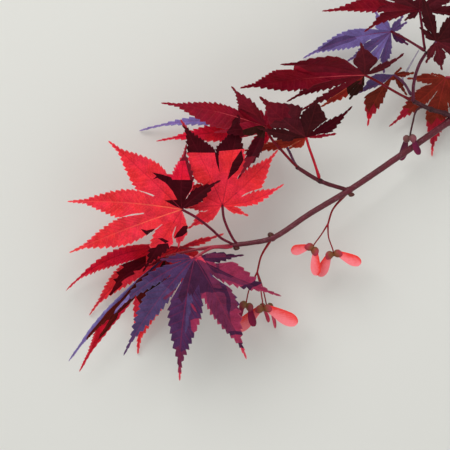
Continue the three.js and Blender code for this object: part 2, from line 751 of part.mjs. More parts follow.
// Each fruit stalk ends just short of the nutlets
for (const [name, routes] of Object.entries(FRUIT_STALKS)) {
  const trim = (solid, fruit) => solid.subtract(nutletsSolid(fruit, CLEARANCE));
  const whole = clearOfLimbs(fruitStalkSolid(routes));
  place(name, largestPiece(Object.values(FRUITS).reduce(trim, whole)), STALK);
}
for (const [name, fruit] of Object.entries(FRUITS)) {
  const [a, b] = fruit.halves;
  const wings = wingSolid(a, b, fruit.wingWidth).add(wingSolid(b, a, fruit.wingWidth));
  place(name, nutletsSolid(fruit).add(wings), FRUIT);
}

// The origin is under the middle of the sprig, on the surface that it lies on
const box = new THREE.Box3().setFromObject(sprig);
const middle = box.getCenter(new THREE.Vector3());
sprig.position.set(-middle.x, -middle.y, -box.min.z);

export default part;
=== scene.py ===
import json
import math
import random

import bmesh
import bpy
from mathutils import Matrix, Quaternion, Vector, noise


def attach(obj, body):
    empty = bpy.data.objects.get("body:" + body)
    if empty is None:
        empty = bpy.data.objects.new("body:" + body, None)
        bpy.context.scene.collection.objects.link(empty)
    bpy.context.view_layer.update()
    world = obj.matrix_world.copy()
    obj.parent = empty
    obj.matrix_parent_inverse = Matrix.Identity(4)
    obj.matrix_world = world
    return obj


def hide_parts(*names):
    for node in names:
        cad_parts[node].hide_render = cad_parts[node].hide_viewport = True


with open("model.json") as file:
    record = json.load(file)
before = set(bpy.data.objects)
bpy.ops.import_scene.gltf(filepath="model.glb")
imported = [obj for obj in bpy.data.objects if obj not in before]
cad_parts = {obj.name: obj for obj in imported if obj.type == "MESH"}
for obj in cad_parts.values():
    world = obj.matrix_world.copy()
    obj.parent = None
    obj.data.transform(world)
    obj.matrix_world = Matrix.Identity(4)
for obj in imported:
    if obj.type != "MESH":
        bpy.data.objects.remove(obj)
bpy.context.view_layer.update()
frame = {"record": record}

# Lengths are in mm up to placed(), which moves a point into the frame
MM = 0.001
EYE_HEIGHT = 1200  # above the surface: the sprig is laid out as it looks from there
PIXEL = 0.45  # of the surface for each pixel of the picture
PICTURE = 450  # pixels, both ways

# A leaf's outline, the same rule as the solids', with life-sized teeth
LOBE_HALF_WIDTH = 0.14  # of a lobe's length
WIDEST = 0.45  # of the way along a lobe
LOBE_RISE_POWER = 1.15
TIP_SHARE = 0.25  # the long drawn-out tip's part in a lobe's width
TIP_POWER = 0.5
SHOULDER = 0.73  # the rest of the width is gone by this share of the way from the widest place to the tip
SHOULDER_POWERS = (1.6, 1.2)
SMALL_LOBE = 20
SMALL_LOBE_HALF_WIDTH = 0.18
LEAST_WEB = 0.18  # of the shorter lobe: how far from the heart two lobes part
MOST_WEB = 0.38
WEB_STEP = 0.01
OUTER_START = 0.12  # of the way along a lobe, where a side without a neighbour has its first tooth
PARTING = 0.93  # of half the space between two ribs
CLEARANCE = 0.25  # between a lobe and a slim neighbour
ARCH = 0.05  # how high a midrib arches, as a share of its length
FOLD = 0.18  # how much the margin rises for each mm of width
TOOTH_DEPTH = 0.45  # from a lobe's middle on
TOOTH_STATIONS = ((0.05, -1.0), (0.5, 0.15), (0.93, 1.0))  # notch, shoulder and point of a tooth
TOOTH_PITCH = 2.4
TOOTHED = 0.75  # of a lobe's length
TOOTH_SPREAD = 0.4  # by how much teeth differ in size, either way
TOOTH_SLIP = 0.12  # and in place, in pitches
TOOTH_LIMIT = 0.35  # of the half width
TOOTH_GROWTH = (0.2, 0.3)  # of a lobe's length: teeth begin to grow here, and are full-grown after this
LEAST_GROWTH = 0.15
TOOTHLESS_TIP = 0.2  # in pitches
LEAST_TIP = 0.45  # half a tip's width
TIP_REACH = 0.05  # of a lobe's length, over which the tip closes
LEAST_TEETH = 4
MOST_TEETH = 16
FULL_TEETH = 30  # a lobe as long as this has teeth of full depth
WEB_ROWS = (0.3, 0.55, 0.8, 1.0)  # rows of the blade before it parts, as shares of the way to the web
COLUMNS = 6  # of faces from the midrib to the margin
VEIN_SLANT = 0.9  # side veins run this much forward for each mm outward
VEIN_FOOT = 0.3  # and leave the midrib at this share of the way to their tooth at least
VEIN_ACROSS = 0.7  # the distance across a vein for each mm along the lobe
PUFF = 0.055  # the blade swells up between two side veins by this share of the half width
PUFF_RISE = 0.8  # and is at its full height this far from a vein
FAR_INSIDE = 9.0  # the heart's distance from the margin
BLADE_THICKNESS = 0.34
SHADE_REACH = 0.6  # faces this far beyond a shaded area's side are still cut
CREASE = math.radians(40)  # edges sharper than this stay sharp

# Ribs and stalks
RIB_RADIUS = 0.3
BOLD_RIB = 1.3  # how much thicker the ribs are that have a paint of their own
FULL_RIB = 45  # a lobe as long as this has a rib of full thickness
RIB_STEPS = 14
RIB_REACH = 0.93  # of the lobe's length
RIB_SINK = 0.04  # into the blade
RIB_TAPER = 0.82  # of its thickness, from the heart to the tip
STALK_RADIUS = 0.58
STALK_FOOT = 0.95
FOOT_REACH = 1.6  # a stalk's foot widens over its last stretch between stations, divided by this
STALK_STEP = 0.8
FRUIT_STALK_RADII = (0.62, 0.42, 0.3)  # at the foot, at the fork and at the fruit
FRUIT_STALK_STEP = 0.6

# Woody limbs
LIMB_STEP = 0.35
NODE_SWELL = 0.32
NODE_REACH = 1.15
SCARS = (0.95, 1.75)  # two fine scars ring each node at these distances
SCAR_WIDTH = 0.22
SCAR_DEPTH = 0.13
NODE_BARK_REACH = 1.3  # of the darker bark round a node
NODE_BARK_WAVE = (0.4, 1.3)  # how uneven its edge is, and how fine
LUMPS = ((0.5, 0.6), (1.7, 0.3), (4.5, 0.25))  # the bark's relief: how fine, and its share

# Stems and shoots, as [x, y, height, radius, node], from the foot to the tip
STEMS = {
    "main_stem": [
        [127.4, 64.0, 1.45, 1.55],
        [113.9, 55.2, 7.5, 1.52, True],
        [100.8, 46.5, 13, 1.48, True],
        [78.8, 31.2, 19.5, 1.4],
        [55.6, 15.5, 24, 1.35, True],
        [38.2, 5.1, 26.5, 1.25],
        [21.2, -5.9, 28, 1.2, True],
        [11.2, -8.1, 28.5, 1.05],
        [2.2, -9.2, 28.5, 1.1, True],
    ],
    "middle_shoot": [
        [55.6, 15.6, 24, 0.95],
        [42.8, 19.8, 27, 0.92, True],
        [31.9, 26.3, 29, 0.9, True],
    ],
    "upper_shoot": [
        [102.3, 48.6, 13.6, 1.1],
        [99.0, 50.2, 15.6, 1.05, True],
        [92.7, 52.0, 18.5, 1.0, True],
        [84.6, 55.8, 22, 0.95, True],
    ],
    "top_shoot": [
        [84.6, 55.8, 22, 0.8],
        [85.0, 63.9, 26, 0.72],
        [87.3, 72.0, 30, 0.7],
        [90.9, 78.1, 33, 0.72, True],
    ],
}
STEM_PAINTS = {
    "main_stem": "bark",
    "middle_shoot": "red_bark",
    "upper_shoot": "dark_bark",
    "top_shoot": "plum_bark",
}
DRY_TWIG = [
    [85.1, 57.2, 20.2, 0.5],
    [79.9, 65.7, 14.5, 0.45],
    [81.7, 69.1, 13.5, 0.5],
    [87.3, 78.9, 12.5, 0.25],
]

# Leaves. slot: the finish of the solid that it stands for. heart: [x, y, height] of the point where stalk and
# lobes meet. lobes, counterclockwise: [heading, reach, rise, paint, bow, breadth, widest place]; two breadths
# are for the clockwise and the other side. webs: how far from the heart neighbours part, where the rule
# doesn't say. stalk: [x, y, height] back to the stem. rib_paint is for all ribs, rib_paints for single bold
# ones. teeth and pitch: the teeth's depth and distance, where they aren't the usual ones. shades: darker and
# lighter areas, as the numbers of the lobes that one lies on (None: all), its paint, and its corners as seen
# in the picture, in pixels. Many are painted shade where other leaves shadow or overlap a leaf, a few are
# painted highlights, and the others are patches of other colour on the leaf.
LEAVES = {}
LEAVES["left_scarlet_leaf"] = dict(
    slot="leaf_scarlet", heart=[-19.4, 7, 36], rib_paints={0: "dark_rib", 3: "bright_rib", 4: "bright_rib"},
    lobes=[
        [37, 21.9, 1, "burgundy", 0.045, [1.1, 0.95]],
        [86, 29.6, 0, "ruby", 0.03, [1.4, 1.15]],
        [137, 45.2, -3, "scarlet", -0.02, 1.22],
        [176, 51.6, -8, "vermilion", -0.03, [0.84, 1.05]],
        [201, 54.3, -12, "vermilion", -0.015, [0.72, 0.85], 0.5],
        [238, 33.3, -8, "scarlet"],
        [265, 17.5, -4, "scarlet", 0, [1.2, 1.15], 0.55],
    ],
    webs=[5, 17, 13.5, 16.6, 10.8, 8.1],
    stalk=[[-13, 3.4, 35.6], [-6.2, -1.8, 33.4], [-1.6, -6, 31.6], [1.8, -7.8, 30.2], [3.4, -8.7, 28.6]],
    stalk_paint="dark_stalk",
    shades=[
        # Painted shade, all of these: the dark marks where other leaves shadow and overlap this leaf
        ([1], "cherry", [(172, 136), (190, 136), (190, 158), (184, 161), (180, 158), (174, 163), (168, 160)]),
        (None, "burgundy", [(152.2, 172.3), (163, 174.6), (171.1, 177.4), (172.1, 179.7), (193.1, 180),
            (192, 188.2), (186.4, 197.3), (183.4, 209.1), (175.7, 206.5), (164.5, 200.4), (177.2, 199.6),
            (172.7, 191.2), (165.5, 182.6), (157.3, 177.8), (152.2, 179.7), (156.8, 176.1)]),
        ([1], "garnet", [(178.8, 161.1), (183.9, 156), (186.4, 142.2), (196.6, 170.8), (193.8, 181),
            (190.5, 180), (188, 170.8), (185.4, 160.6)]),
        ([5], "burgundy", [(157.9, 238.2), (162.4, 238), (169.1, 241.2), (165.5, 243.3)]),
        ([5], "burgundy", [(140, 249.5), (145, 248.9), (155.8, 247.3), (157.9, 244.3), (168, 243), (175, 262),
            (140, 290)]),
        ([6], "burgundy", [(174.2, 238.2), (176.7, 233.1), (183.4, 225.9), (188, 225.4), (187.4, 232),
            (182.3, 236.1)]),
        ([4], "burgundy", [(140.5, 228.8), (146.6, 230.5), (154.8, 228.5), (152.8, 236.1), (149.2, 237.1),
            (145.6, 234.1)]),
    ],
)
LEAVES["right_scarlet_leaf"] = dict(
    slot="leaf_scarlet", heart=[-1.2, 8.9, 31.5],
    lobes=[
        [338, 12.7, -2, "scarlet", 0, [0.6, 0.95]],
        [19, 29.4, -3, "scarlet", -0.07, [0.55, 0.85], 0.5],
        [45, 35.6, -2, "scarlet", -0.02, [1.25, 1]],
        [79, 41.1, 2, "scarlet", 0, [1.2, 1.75]],
        [116, 43, 1, "scarlet", -0.02, [1.4, 1.15]],
        [154, 21, -2.5, "scarlet", 0, [2.2, 1]],
        [184, 17.2, -1.5, "scarlet", 0, [1.2, 0.75]],
        [214, 18.8, -3, "scarlet", 0, [1.2, 0.85]],
    ],
    webs=[5.2, 9.5, 13.5, 23.5, 12.5, 9, 7],
    stalk=[[-0.4, 2.7, 31], [3.6, -6.2, 30], [5.8, -8.8, 28.6]], stalk_paint="dark_stalk",
    shades=[
        ([4], "cherry", [(174, 112), (192, 112), (194, 130), (178, 128)]),
        # Painted shade: the dark areas where other leaves shadow and overlap this leaf's lobes
        ([4], "burgundy", [(178, 152.7), (222, 152.7), (222, 124), (190, 125), (187, 128), (178, 123)]),
        ([3], "burgundy", [(205, 152.6), (218, 151.3), (243, 149), (260, 147.5), (250, 90), (215, 90)]),
        ([2, 3], "burgundy", [(241.5, 149.8), (243.7, 160.1), (237.8, 170.3), (227.5, 179.9), (230.5, 168.9),
            (232.7, 162.3)]),
        ([3, 4], "burgundy", [(214.5, 150), (219, 150), (218.6, 158), (219.6, 172), (216.5, 163)]),
    ],
)
LEAVES["front_purple_leaf"] = dict(
    slot="leaf_purple", heart=[-13.6, -14.7, 35.5], rib_paint="plum_rib", teeth=0.65, pitch=3.2,
    lobes=[
        [183, 15.6, -2, "purple", 0, [0.85, 1]],
        [214, 43.5, -9, "violet", -0.06, [0.55, 0.42]],
        [234, 54.6, -13, "violet", -0.044, [0.77, 0.5]],
        [263, 55.8, -14, "purple", -0.03, [0.86, 0.97], 0.41],
        [297, 51.3, -10, "plum", 0.028, [0.82, 1.02]],
        [336, 42.7, -5, "plum", -0.015, [0.6, 1.15], 0.38],
        [3, 22.3, -1, "dusk", 0, 0.75],
    ],
    webs=[None, 13, None, 18, 10.9, 9],
    stalk=[[-10.2, -12.6, 35.4], [-5.4, -10.3, 33.6], [0.9, -10.2, 31.5], [3.4, -9.6, 28.8]],
    stalk_paint="stalk",
    shades=[
        ([1, 2], "mulberry", [(138, 250), (200, 250), (200, 268), (188, 277), (176, 284), (172, 291),
            (165, 286), (160, 280), (151, 283), (146, 279), (138, 281)]),
        ([3], "dusk", [(198, 254), (201, 268), (199, 284), (194, 292), (190, 301), (186, 296), (182, 303),
            (178, 297), (183, 282), (189, 262)]),
        ([4], "dusk", [(194, 256), (203, 268), (210, 280), (213.5, 287.5), (219, 288.5), (223, 288),
            (225.5, 293.5), (219, 291.5), (215, 292), (212, 292.8), (206, 291.6), (203, 293), (197, 293),
            (190, 270)]),
        ([4], "dusk", [(218.5, 278), (224, 281), (227, 289), (230.5, 298), (231, 306), (229, 315),
            (226.5, 307), (226.5, 298), (223, 290), (220.5, 285)]),
        ([4], "purple", [(211, 277), (219, 279), (221, 286), (231, 286), (240, 310), (244, 280), (206, 262)]),
        ([4], "wine", [(230, 312), (236, 308), (244, 312), (244, 331), (236, 331), (231, 322)]),
        ([4], "wine", [(202, 294), (206, 292), (207, 302), (214, 316), (226, 330), (212, 322), (200, 305)]),
        ([4], "dusk", [(228, 331.5), (235, 330.5), (244, 332.5), (244, 335), (236, 334.2), (230, 335.5)]),
        ([4], "wine", [(230, 335.5), (236, 334.2), (244, 335), (246, 343.5), (234, 343.5)]),
        ([4], "dusk", [(234, 343.5), (240, 342.5), (246, 343.5), (248, 349), (241, 347.5), (236, 348.5)]),
        ([4], "rose", [(236, 348.5), (241, 347.5), (248, 349), (252, 372), (240, 372)]),
        ([5], "dusk", [(203, 260), (210, 264), (222, 270), (234, 276.5), (231, 278), (222, 274),
            (214, 272.5)]),
        ([5], "wine", [(206, 256), (215, 258.5), (216.5, 267.5), (210, 264.5), (206, 261.5)]),
        ([5], "wine", [(219, 258), (262, 262), (258, 281.5), (254, 281), (251, 283.2), (235, 277),
            (219.5, 269)]),
        ([5], "wine", [(222, 279), (232, 281.5), (241, 285), (244, 285), (238.5, 288), (236, 295),
            (222, 290)]),
        ([5], "dusk", [(254.5, 280.5), (262, 276), (262, 284), (256, 286), (252, 287.5), (250, 293),
            (238, 293), (239, 288), (244, 285), (251, 283.2)]),
        ([5], "wine", [(250, 291), (252, 287.5), (256, 286), (262, 283), (292, 292), (287, 304), (250, 300)]),
        ([6], "plum", [(205, 253), (226, 253.5), (225.5, 257), (206, 257.5)]),
        ([3], "violet", [(187.6, 292), (190, 296), (191.5, 293), (193, 301), (190.5, 306), (191, 312),
            (188.5, 318), (189, 324), (186.5, 331), (184.8, 334), (186.2, 312)]),
        ([3], "wine", [(190, 303), (193.5, 304.5), (196, 308), (197, 312), (194.5, 311), (192, 307.5)]),
        ([3], "wine", [(190.5, 320), (195, 318.5), (202, 318), (200, 330), (195.5, 335), (191.5, 330),
            (190.8, 325)]),
        # Painted highlight: a lavender sheen on the outer part of this lobe
        ([1], "lavender", [(128, 291), (130, 297), (118, 316), (108, 316), (116, 300), (121, 292)]),
        ([3], "plum", [(172, 350), (179, 346), (180, 352), (190, 348), (188, 367), (172, 366)]),
        ([3], "wine", [(172, 364.5), (180, 367), (188, 364.5), (188, 371), (180, 372.5), (172, 371)]),
        ([3], "rose", [(172, 371), (180, 372.5), (188, 371), (186, 390), (172, 390)]),
        ([2], "plum", [(162.7, 298.1), (180.3, 284.9), (182, 287), (165, 300)]),
        (None, "rose", [(189, 256), (192, 254), (196, 253.5), (200, 254.5), (203, 258.5), (207, 263.5),
            (201, 260), (198, 259.6), (196, 261), (194, 258.5), (191, 259)]),
    ],
)
LEAVES["under_left_leaf"] = dict(
    slot="leaf_scarlet", heart=[-20.2, -9.9, 18],
    lobes=[
        [201, 55.1, -12, "ruby", -0.125, [0.4, 0.5]],
        [217, 51.2, -17.4, "scarlet", -0.088, [0.72, 0.55]],
        [248.5, 51.9, -17.4, "scarlet", -0.073, [0.95, 0.9]],
        [285, 28, -8, "scarlet"],
        [330, 16, -1, "scarlet"],
        [17, 20.7, 3, "scarlet", 0, 0.5],
    ],
    stalk=[[-12, -11, 20.4], [-4, -10.1, 22.8], [1.2, -10.2, 25], [3.8, -9.4, 27.4]], stalk_paint="stalk",
    shades=[
        ([1], "blood", [(146, 254), (137, 257), (131, 258), (127, 262), (121, 265), (124, 267), (119, 271),
            (116, 272), (119, 275), (117, 278), (113, 279), (116, 282), (114, 286), (112, 290), (107.5, 297),
            (112, 294.5), (115, 291), (119, 288), (123, 284), (121.5, 282), (125, 279), (130, 276),
            (135, 274), (133.5, 271), (140, 270), (146, 265)]),
        ([2], "mahogany", [(158, 274), (152, 283), (146, 284), (139, 289), (136, 297), (140, 303), (138, 307),
            (147, 303), (156, 296), (166, 276)]),
    ],
)
LEAVES["edge_lavender_leaf"] = dict(
    slot="leaf_lavender", heart=[-26.6, -14.4, 25],
    lobes=[
        [206, 9, 1, "crimson"],
        [227, 64.1, -6, "lavender", -0.068, 0.17, 0.65],
        [233, 64.6, -13, "ruby", -0.07, [0.8, 0.27]],
        [245, 28, -9, "brown", 0, 0.7],
        [268, 12, -6, "crimson"],
    ],
    webs=[None, 41, None, None],
    stalk=[[-19.9, -12.6, 26.2], [-6.3, -9.8, 27.6], [3, -9.3, 28.2]], stalk_paint="stalk",
    shades=[
        ([1], "mulberry", [(175, 250), (160, 290), (138, 290), (132, 288), (136, 282), (128, 276),
            (150, 250)]),
        # Painted shade: the mahogany bands are the shaded underside of these lobes
        ([1, 2], "mahogany", [(150, 272), (146, 284), (140, 292), (134, 299), (129, 304), (121, 311),
            (117, 314), (112, 318), (108, 320), (103, 318.5), (105.5, 313), (109, 309.5), (115, 304),
            (121, 299), (127, 292), (134, 284), (142, 276)]),
        ([2], "mahogany", [(119, 311), (117, 318), (112, 324), (107, 331), (101, 337), (98, 340), (100, 334),
            (105, 327), (109, 320), (113, 314)]),
        ([1], "mahogany", [(105.5, 313), (100.5, 320), (95.5, 326), (92, 330), (88, 335), (86, 339),
            (90, 341), (101, 332), (110, 320), (108, 312)]),
        # Painted highlight: a lavender sheen on this lobe
        ([2], "lavender", [(131, 291.5), (127, 298), (120, 306), (116.5, 312), (113.5, 314), (116, 308),
            (119, 301), (124, 295)]),
    ],
)
LEAVES["middle_left_leaf"] = dict(
    slot="leaf_crimson", heart=[18.2, 44.1, 31], rib_paints={2: "light_rib"},
    lobes=[
        [75, 11, 0, "crimson"],
        [130, 24, 4, "garnet", 0, [0.85, 1.45]],
        [167, 48.3, -9, "crimson", -0.025, [0.55, 1.05]],
        [186, 23.2, 8, "crimson", 0, [0.8, 1.1], 0.4],
        [242, 26.5, 7, "burgundy", 0.03, [0.8, 0.75]],
    ],
    webs=[None, 14.5, None, None],
    stalk=[[20.9, 38.9, 31.8], [25.7, 33.3, 31.8], [30.9, 27.6, 30.4], [32.6, 26.1, 29.3]],
    stalk_paint="deep_stalk",
    shades=[
        (None, "brown", [(268, 125.5), (262, 125.5), (255, 126.5), (250, 127.5), (243, 130), (230, 132),
            (236, 134), (250, 136), (258, 137.5), (266, 138)]),
        ([4], "garnet", [(256, 156), (252, 164), (244, 172), (234, 180), (232, 176), (240, 163), (246, 157)]),
        # Painted shade: the dark shape of right_scarlet_leaf's shadowed lobe, which passes just behind this
        # leaf here
        ([2, 3], "burgundy", [(238, 114), (240.5, 119), (239.5, 125), (242.5, 129), (243, 133), (245, 138),
            (223, 138), (225.5, 134), (228, 130), (231.5, 126), (232.5, 121), (236, 117)]),
    ],
)
LEAVES["middle_back_leaf"] = dict(
    slot="leaf_crimson", heart=[21.6, 42.3, 20],
    lobes=[
        [100, 14, 0, "crimson"],
        [140, 20, -3, "crimson"],
        [180, 60.3, -19.4, "lavender", -0.06, [0.26, 0.22]],
        [185, 52.8, -8, "ruby", -0.017, [0.5, 0.56]],
        [221, 17.2, -4, "ruby"],
    ],
    stalk=[[27.5, 35.6, 22.5], [31.2, 28.2, 26.2], [32.5, 26.2, 28.1]], stalk_paint="violet_stalk",
)
LEAVES["middle_right_leaf"] = dict(
    slot="leaf_burgundy", heart=[36.5, 39.5, 33], rib_paint="dark_rib",
    lobes=[
        [7, 13.7, 1, "crimson", 0, [0.3, 0.5]],
        [34, 25.1, 4, "burgundy", -0.038, 0.8],
        [74, 19, 8, "maroon", 0, [1.9, 1.5], 0.52],
        [139, 27.9, 10, "oxblood", 0, [2.6, 1.75]],
        [169, 22.4, 3, "maroon"],
        [192, 29, -13, "orange", 0, [0.65, 0.5]],
        [213, 9.2, -4, "orange", 0, 1.4],
    ],
    webs=[None, None, 10.6, None, None, None],
    stalk=[[37.6, 35.5, 32.3], [39.8, 29.3, 30.5], [42.5, 21, 28]], stalk_paint="bright_stalk",
    shades=[
        ([3], "garnet", [(256, 94), (270, 97), (276, 102), (284, 103), (290, 109), (288, 113), (292, 118),
            (285, 117), (281, 121), (275, 120), (270, 125), (262, 124), (262, 104)]),
    ],
)
LEAVES["upper_front_leaf"] = dict(
    slot="leaf_crimson", heart=[62.8, 67.5, 33], rib_paint="dark_rib", rib_paints={3: "light_rib"}, teeth=0.6,
    pitch=3,
    lobes=[
        [29, 20.3, 8, "oxblood", -0.03, [0.3, 1]],
        [97, 14.9, 9, "oxblood", -0.05, [2, 1.8]],
        [173, 38.2, 3, "garnet", -0.082, [1.35, 0.7], 0.38],
        [186, 56.3, -6, "crimson", -0.055, [1.3, 0.7], 0.58],
        [199, 37.1, -14, "garnet", -0.08, [0.9, 0.5]],
        [209, 33.9, -20, "garnet", -0.03, 0.38],
        [216, 24.4, -17, "orange", 0, [1.3, 0.6]],
        [238, 13, -11, "brown", 0, [1.5, 0.8]],
    ],
    webs=[None, 5, 31.5, None, 9, None, None],
    stalk=[[68.2, 64.8, 31.6], [77, 59.7, 27.2], [83.6, 56.2, 23]], stalk_paint="deep_stalk",
    shades=[
        ([7], "oxblood", [(362, 70), (362, 84), (345, 84), (345, 70)]),
        ([6], "brown", [(346, 84), (350, 82), (366, 79), (366, 100), (350, 100), (347, 91)]),
        ([2], "crimson", [(278, 66), (299, 66), (303, 68), (307, 70.5), (314, 72), (314, 78), (278, 78)]),
    ],
)
LEAVES["upper_lavender_leaf"] = dict(
    slot="leaf_lavender", heart=[74.8, 87.1, 17],
    lobes=[
        [322, 9.8, -3, "purple", 0, 1.1],
        [31, 8.4, 0, "iris", 0, 0.8],
        [53, 9, 1, "iris"],
        [129, 12, 3, "lavender", 0, [1, 1.9]],
        [197, 41.6, -16.4, "lavender", -0.071, [0.7, 0.7], 0.42],
        [214, 24, -12, "iris", 0, 0.8],
        [235, 21, -11, "lavender"],
        [260, 19.2, -11, "iris", -0.035, [0.95, 0.8]],
    ],
    stalk=[[81.5, 83.6, 22], [90, 78.4, 31.8]], stalk_paint="dark_stalk",
    shades=[
        ([4], "iris", [(318, 50), (326, 44), (335, 38), (345, 35), (355, 36), (357, 39), (350, 42), (340, 45),
            (330, 49), (320, 52)]),
    ],
)
LEAVES["top_crimson_leaf"] = dict(
    slot="leaf_crimson", heart=[87.5, 97, 36], rib_paint="dark_rib",
    lobes=[
        [330, 8, -2, "oxblood", 0, 0.8],
        [355, 25.1, -2, "oxblood", 0, [0.3, 1]],
        [30, 26.3, 3, "oxblood"],
        [89, 24.5, 8, "oxblood"],
        [146, 29.7, 5, "oxblood"],
        [181, 43.9, -2, "crimson", -0.034, [1, 0.27]],
        [202, 26.9, -7, "garnet", -0.078, [1.15, 0.35]],
        [216, 8.4, -4, "oxblood"],
    ],
    stalk=[[88.4, 91, 36], [89.5, 82, 35.6], [90, 79, 34]], stalk_paint="dark_stalk",
    shades=[
        ([5], "garnet", [(376, -6), (379, 2), (388, 4), (380, 6), (376, 10), (384, 15), (425, 15),
            (425, -6)]),
    ],
)
LEAVES["right_burgundy_leaf"] = dict(
    slot="leaf_burgundy", heart=[95.1, 82.7, 38], rib_paint="dark_rib",
    lobes=[
        [244, 11, -3, "oxblood"],
        [281, 13.4, -5, "oxblood", 0, [1.4, 1.15]],
        [335, 19.8, -5, "oxblood"],
        [14, 24.9, -2, "maroon"],
        [55, 20.3, 2, "maroon", 0, [1, 0.75]],
        [107, 24, 6, "maroon", 0, [0.7, 1]],
        [140, 9.9, 1, "maroon"],
    ],
    stalk=[[94, 81.2, 36.8], [92, 78.5, 33.8]], stalk_paint="violet_stalk",
)
LEAVES["right_russet_leaf"] = dict(
    slot="leaf_russet", heart=[99.4, 66.5, 9],
    lobes=[
        [166, 7, 1, "russet", 0, 0.6],
        [182, 17.7, 0, "russet", 0, 0.8],
        [221, 34, -4, "russet", 0, [1, 0.6]],
        [260, 36.3, -8.4, "russet", -0.035, [1, 0.9]],
        [293, 28.2, -6, "russet"],
        [328, 14, -2, "russet"],
    ],
    webs=[None, None, 7.2, None, None],
    stalk=[[106, 65.8, 11], [112.6, 59.4, 10]], stalk_paint="stalk",
    shades=[
        ([2], "cherry", [(410, 96), (405, 101), (408, 103), (402, 107), (410, 109), (407, 112), (412, 115),
            (406, 120), (385, 132), (385, 110)]),
        ([3], "cherry", [(418, 124), (428, 121), (431, 125), (437, 117), (441, 121), (446, 118), (450, 140),
            (440, 160), (422, 160)]),
        ([3], "scarlet", [(425, 150), (432, 147), (440, 149), (440, 162), (425, 162)]),
    ],
)
LEAVES["edge_russet_leaf"] = dict(
    slot="leaf_russet", heart=[76, 67.7, 19], rib_paint="dark_rib",
    lobes=[
        [207, 18.3, -4, "violet", 0, [1.5, 0.3]],
        [243, 26.1, -9, "brown_red", -0.09, [1.4, 0.8], 0.52],
        [302, 11, -6, "brown_red", 0, 0.5],
        [5, 9.3, 0, "brown_red", 0, 0.8],
        [43, 4.7, 2, "brown_red", 0, 0.6],
    ],
    stalk=[[80.5, 63.9, 20], [83.8, 58.4, 21.4]], stalk_paint="violet_stalk",
    shades=[
        ([1], "cherry", [(358, 100), (362, 103), (364, 100), (366, 107), (369, 112), (371, 107), (374, 103),
            (376, 109), (381, 105), (378, 130), (360, 130)]),
        ([1], "ruby", [(362, 114), (367, 117), (369, 113), (374, 118), (372, 130), (360, 130)]),
    ],
)

# Fruit stalks, as lists of [x, y, height] from the stem down, the first list being the shared stalk
FRUIT_STALKS = {
    "middle_fruit_stalk": [
        [[55.4, 14.8, 23.6], [48.6, 7.1, 22], [46.3, 0.4, 21]],
        [[46.3, 0.4, 21], [43.0, -4.8, 20.6], [40.1, -8.8, 20.2], [39.3, -10.8, 19.8]],
        [[46.3, 0.4, 21], [46.6, -5.4, 18.6], [48.6, -11.4, 16.6], [48.8, -13.2, 16]],
    ],
    "lower_fruit_stalk": [
        [[20.4, -7.0, 27.4], [16.3, -14.0, 23], [14.5, -21.2, 20]],
        [[14.5, -21.2, 20], [10.9, -29.0, 17.4], [9.7, -34.2, 16.4], [9.5, -36.6, 16.1]],
        [[14.5, -21.2, 20], [15.8, -27.4, 18.6], [17.0, -35.4, 16.4], [17.3, -37.8, 15.8]],
        [[14.5, -21.2, 20], [16.6, -27.0, 14.6], [18.4, -34.6, 9.6], [18.8, -37.0, 8.4]],
    ],
    "upper_fruit_stalk": [
        [[89.1, 53.1, 20], [87.0, 52.4, 21.8], [85.5, 50.2, 23], [84.7, 47.0, 24], [83.4, 41.0, 22.6],
            [83.2, 38.8, 21]],
    ],
}

# Winged fruit in pairs: the size, the wings' width, then for each half its nutlet's centre, its wing's tip
# and the wing's turn in degrees
FRUITS = {
    "middle_fruit_left": [1, 4.4, [[37.9, -9.9, 20], [29.7, -10.5, 21], 0],
        [[40.5, -11.9, 19.6], [42.3, -22.5, 19], 15]],
    "middle_fruit_right": [1, 4.8, [[46.9, -13.7, 16], [41.3, -22.4, 13], 0],
        [[50.9, -12.9, 16], [61.5, -16, 17], 0]],
    "lower_fruit_left": [1, 3.9, [[8.1, -36.1, 16.2], [3.4, -43, 18.5], 40],
        [[11.1, -37.1, 16], [14, -45.2, 17.4], 38]],
    "lower_fruit_front": [1, 6, [[15.4, -38, 15.8], [4.1, -45.9, 9], 20],
        [[19.3, -37.6, 15.8], [33.1, -42.7, 18], 0]],
    "lower_fruit_back": [0.9, 3.3, [[17, -37, 8.4], [19.2, -43.8, 8], 65],
        [[20.4, -36.9, 8.4], [22.9, -46.4, 9], -65]],
    "upper_fruit": [0.95, 3.4, [[81.7, 38.7, 19.4], [78.4, 29.4, 8.4], 10],
        [[84.6, 38.9, 22], [88.2, 32.2, 23.4], 40]],
}
NUTLET = (2.2, 1.8, 1.6)  # half sizes
NUTLET_SHARE = 0.98  # of the solid's size
NUTLET_RIDGES = 9
RIDGE_HEIGHT = 0.03
NUTLET_TAPER = (0.12, 0.16)
WING_THICKNESS = 0.26
WING_GRID = (30, 14)  # faces along and across
ROUND_FROM = 0.68  # of a wing's length, and from here on its end rounds off
ROUND_SHARE = 0.32  # the rest of the length
ROUND_POWER = 2.3
THICK_EDGE = (0.27, 0.06)  # of the width: how high the thick edge lies, and its bulge
THIN_EDGE = (0.26, 0.46)  # of the width: how low the thin edge lies at the foot, and its swell
THIN_EDGE_FULL = 0.72  # of the length, where the swell is complete
THIN_EDGE_POWER = 1.4
WING_TIP = 0.24  # of the width: how low both edges meet
WING_VEIN = 0.05
WING_VEINS = (9, 3)  # how dense the veins are across the wing, and how far they slant
WING_LINES = (14, 9)  # the same for the fine lines of the paint
WING_CUP = (0.35, 0.5)  # along the wing, and across it
NECK_RADII = (0.9, 0.8, 0.9)  # of the bridge between two nutlets
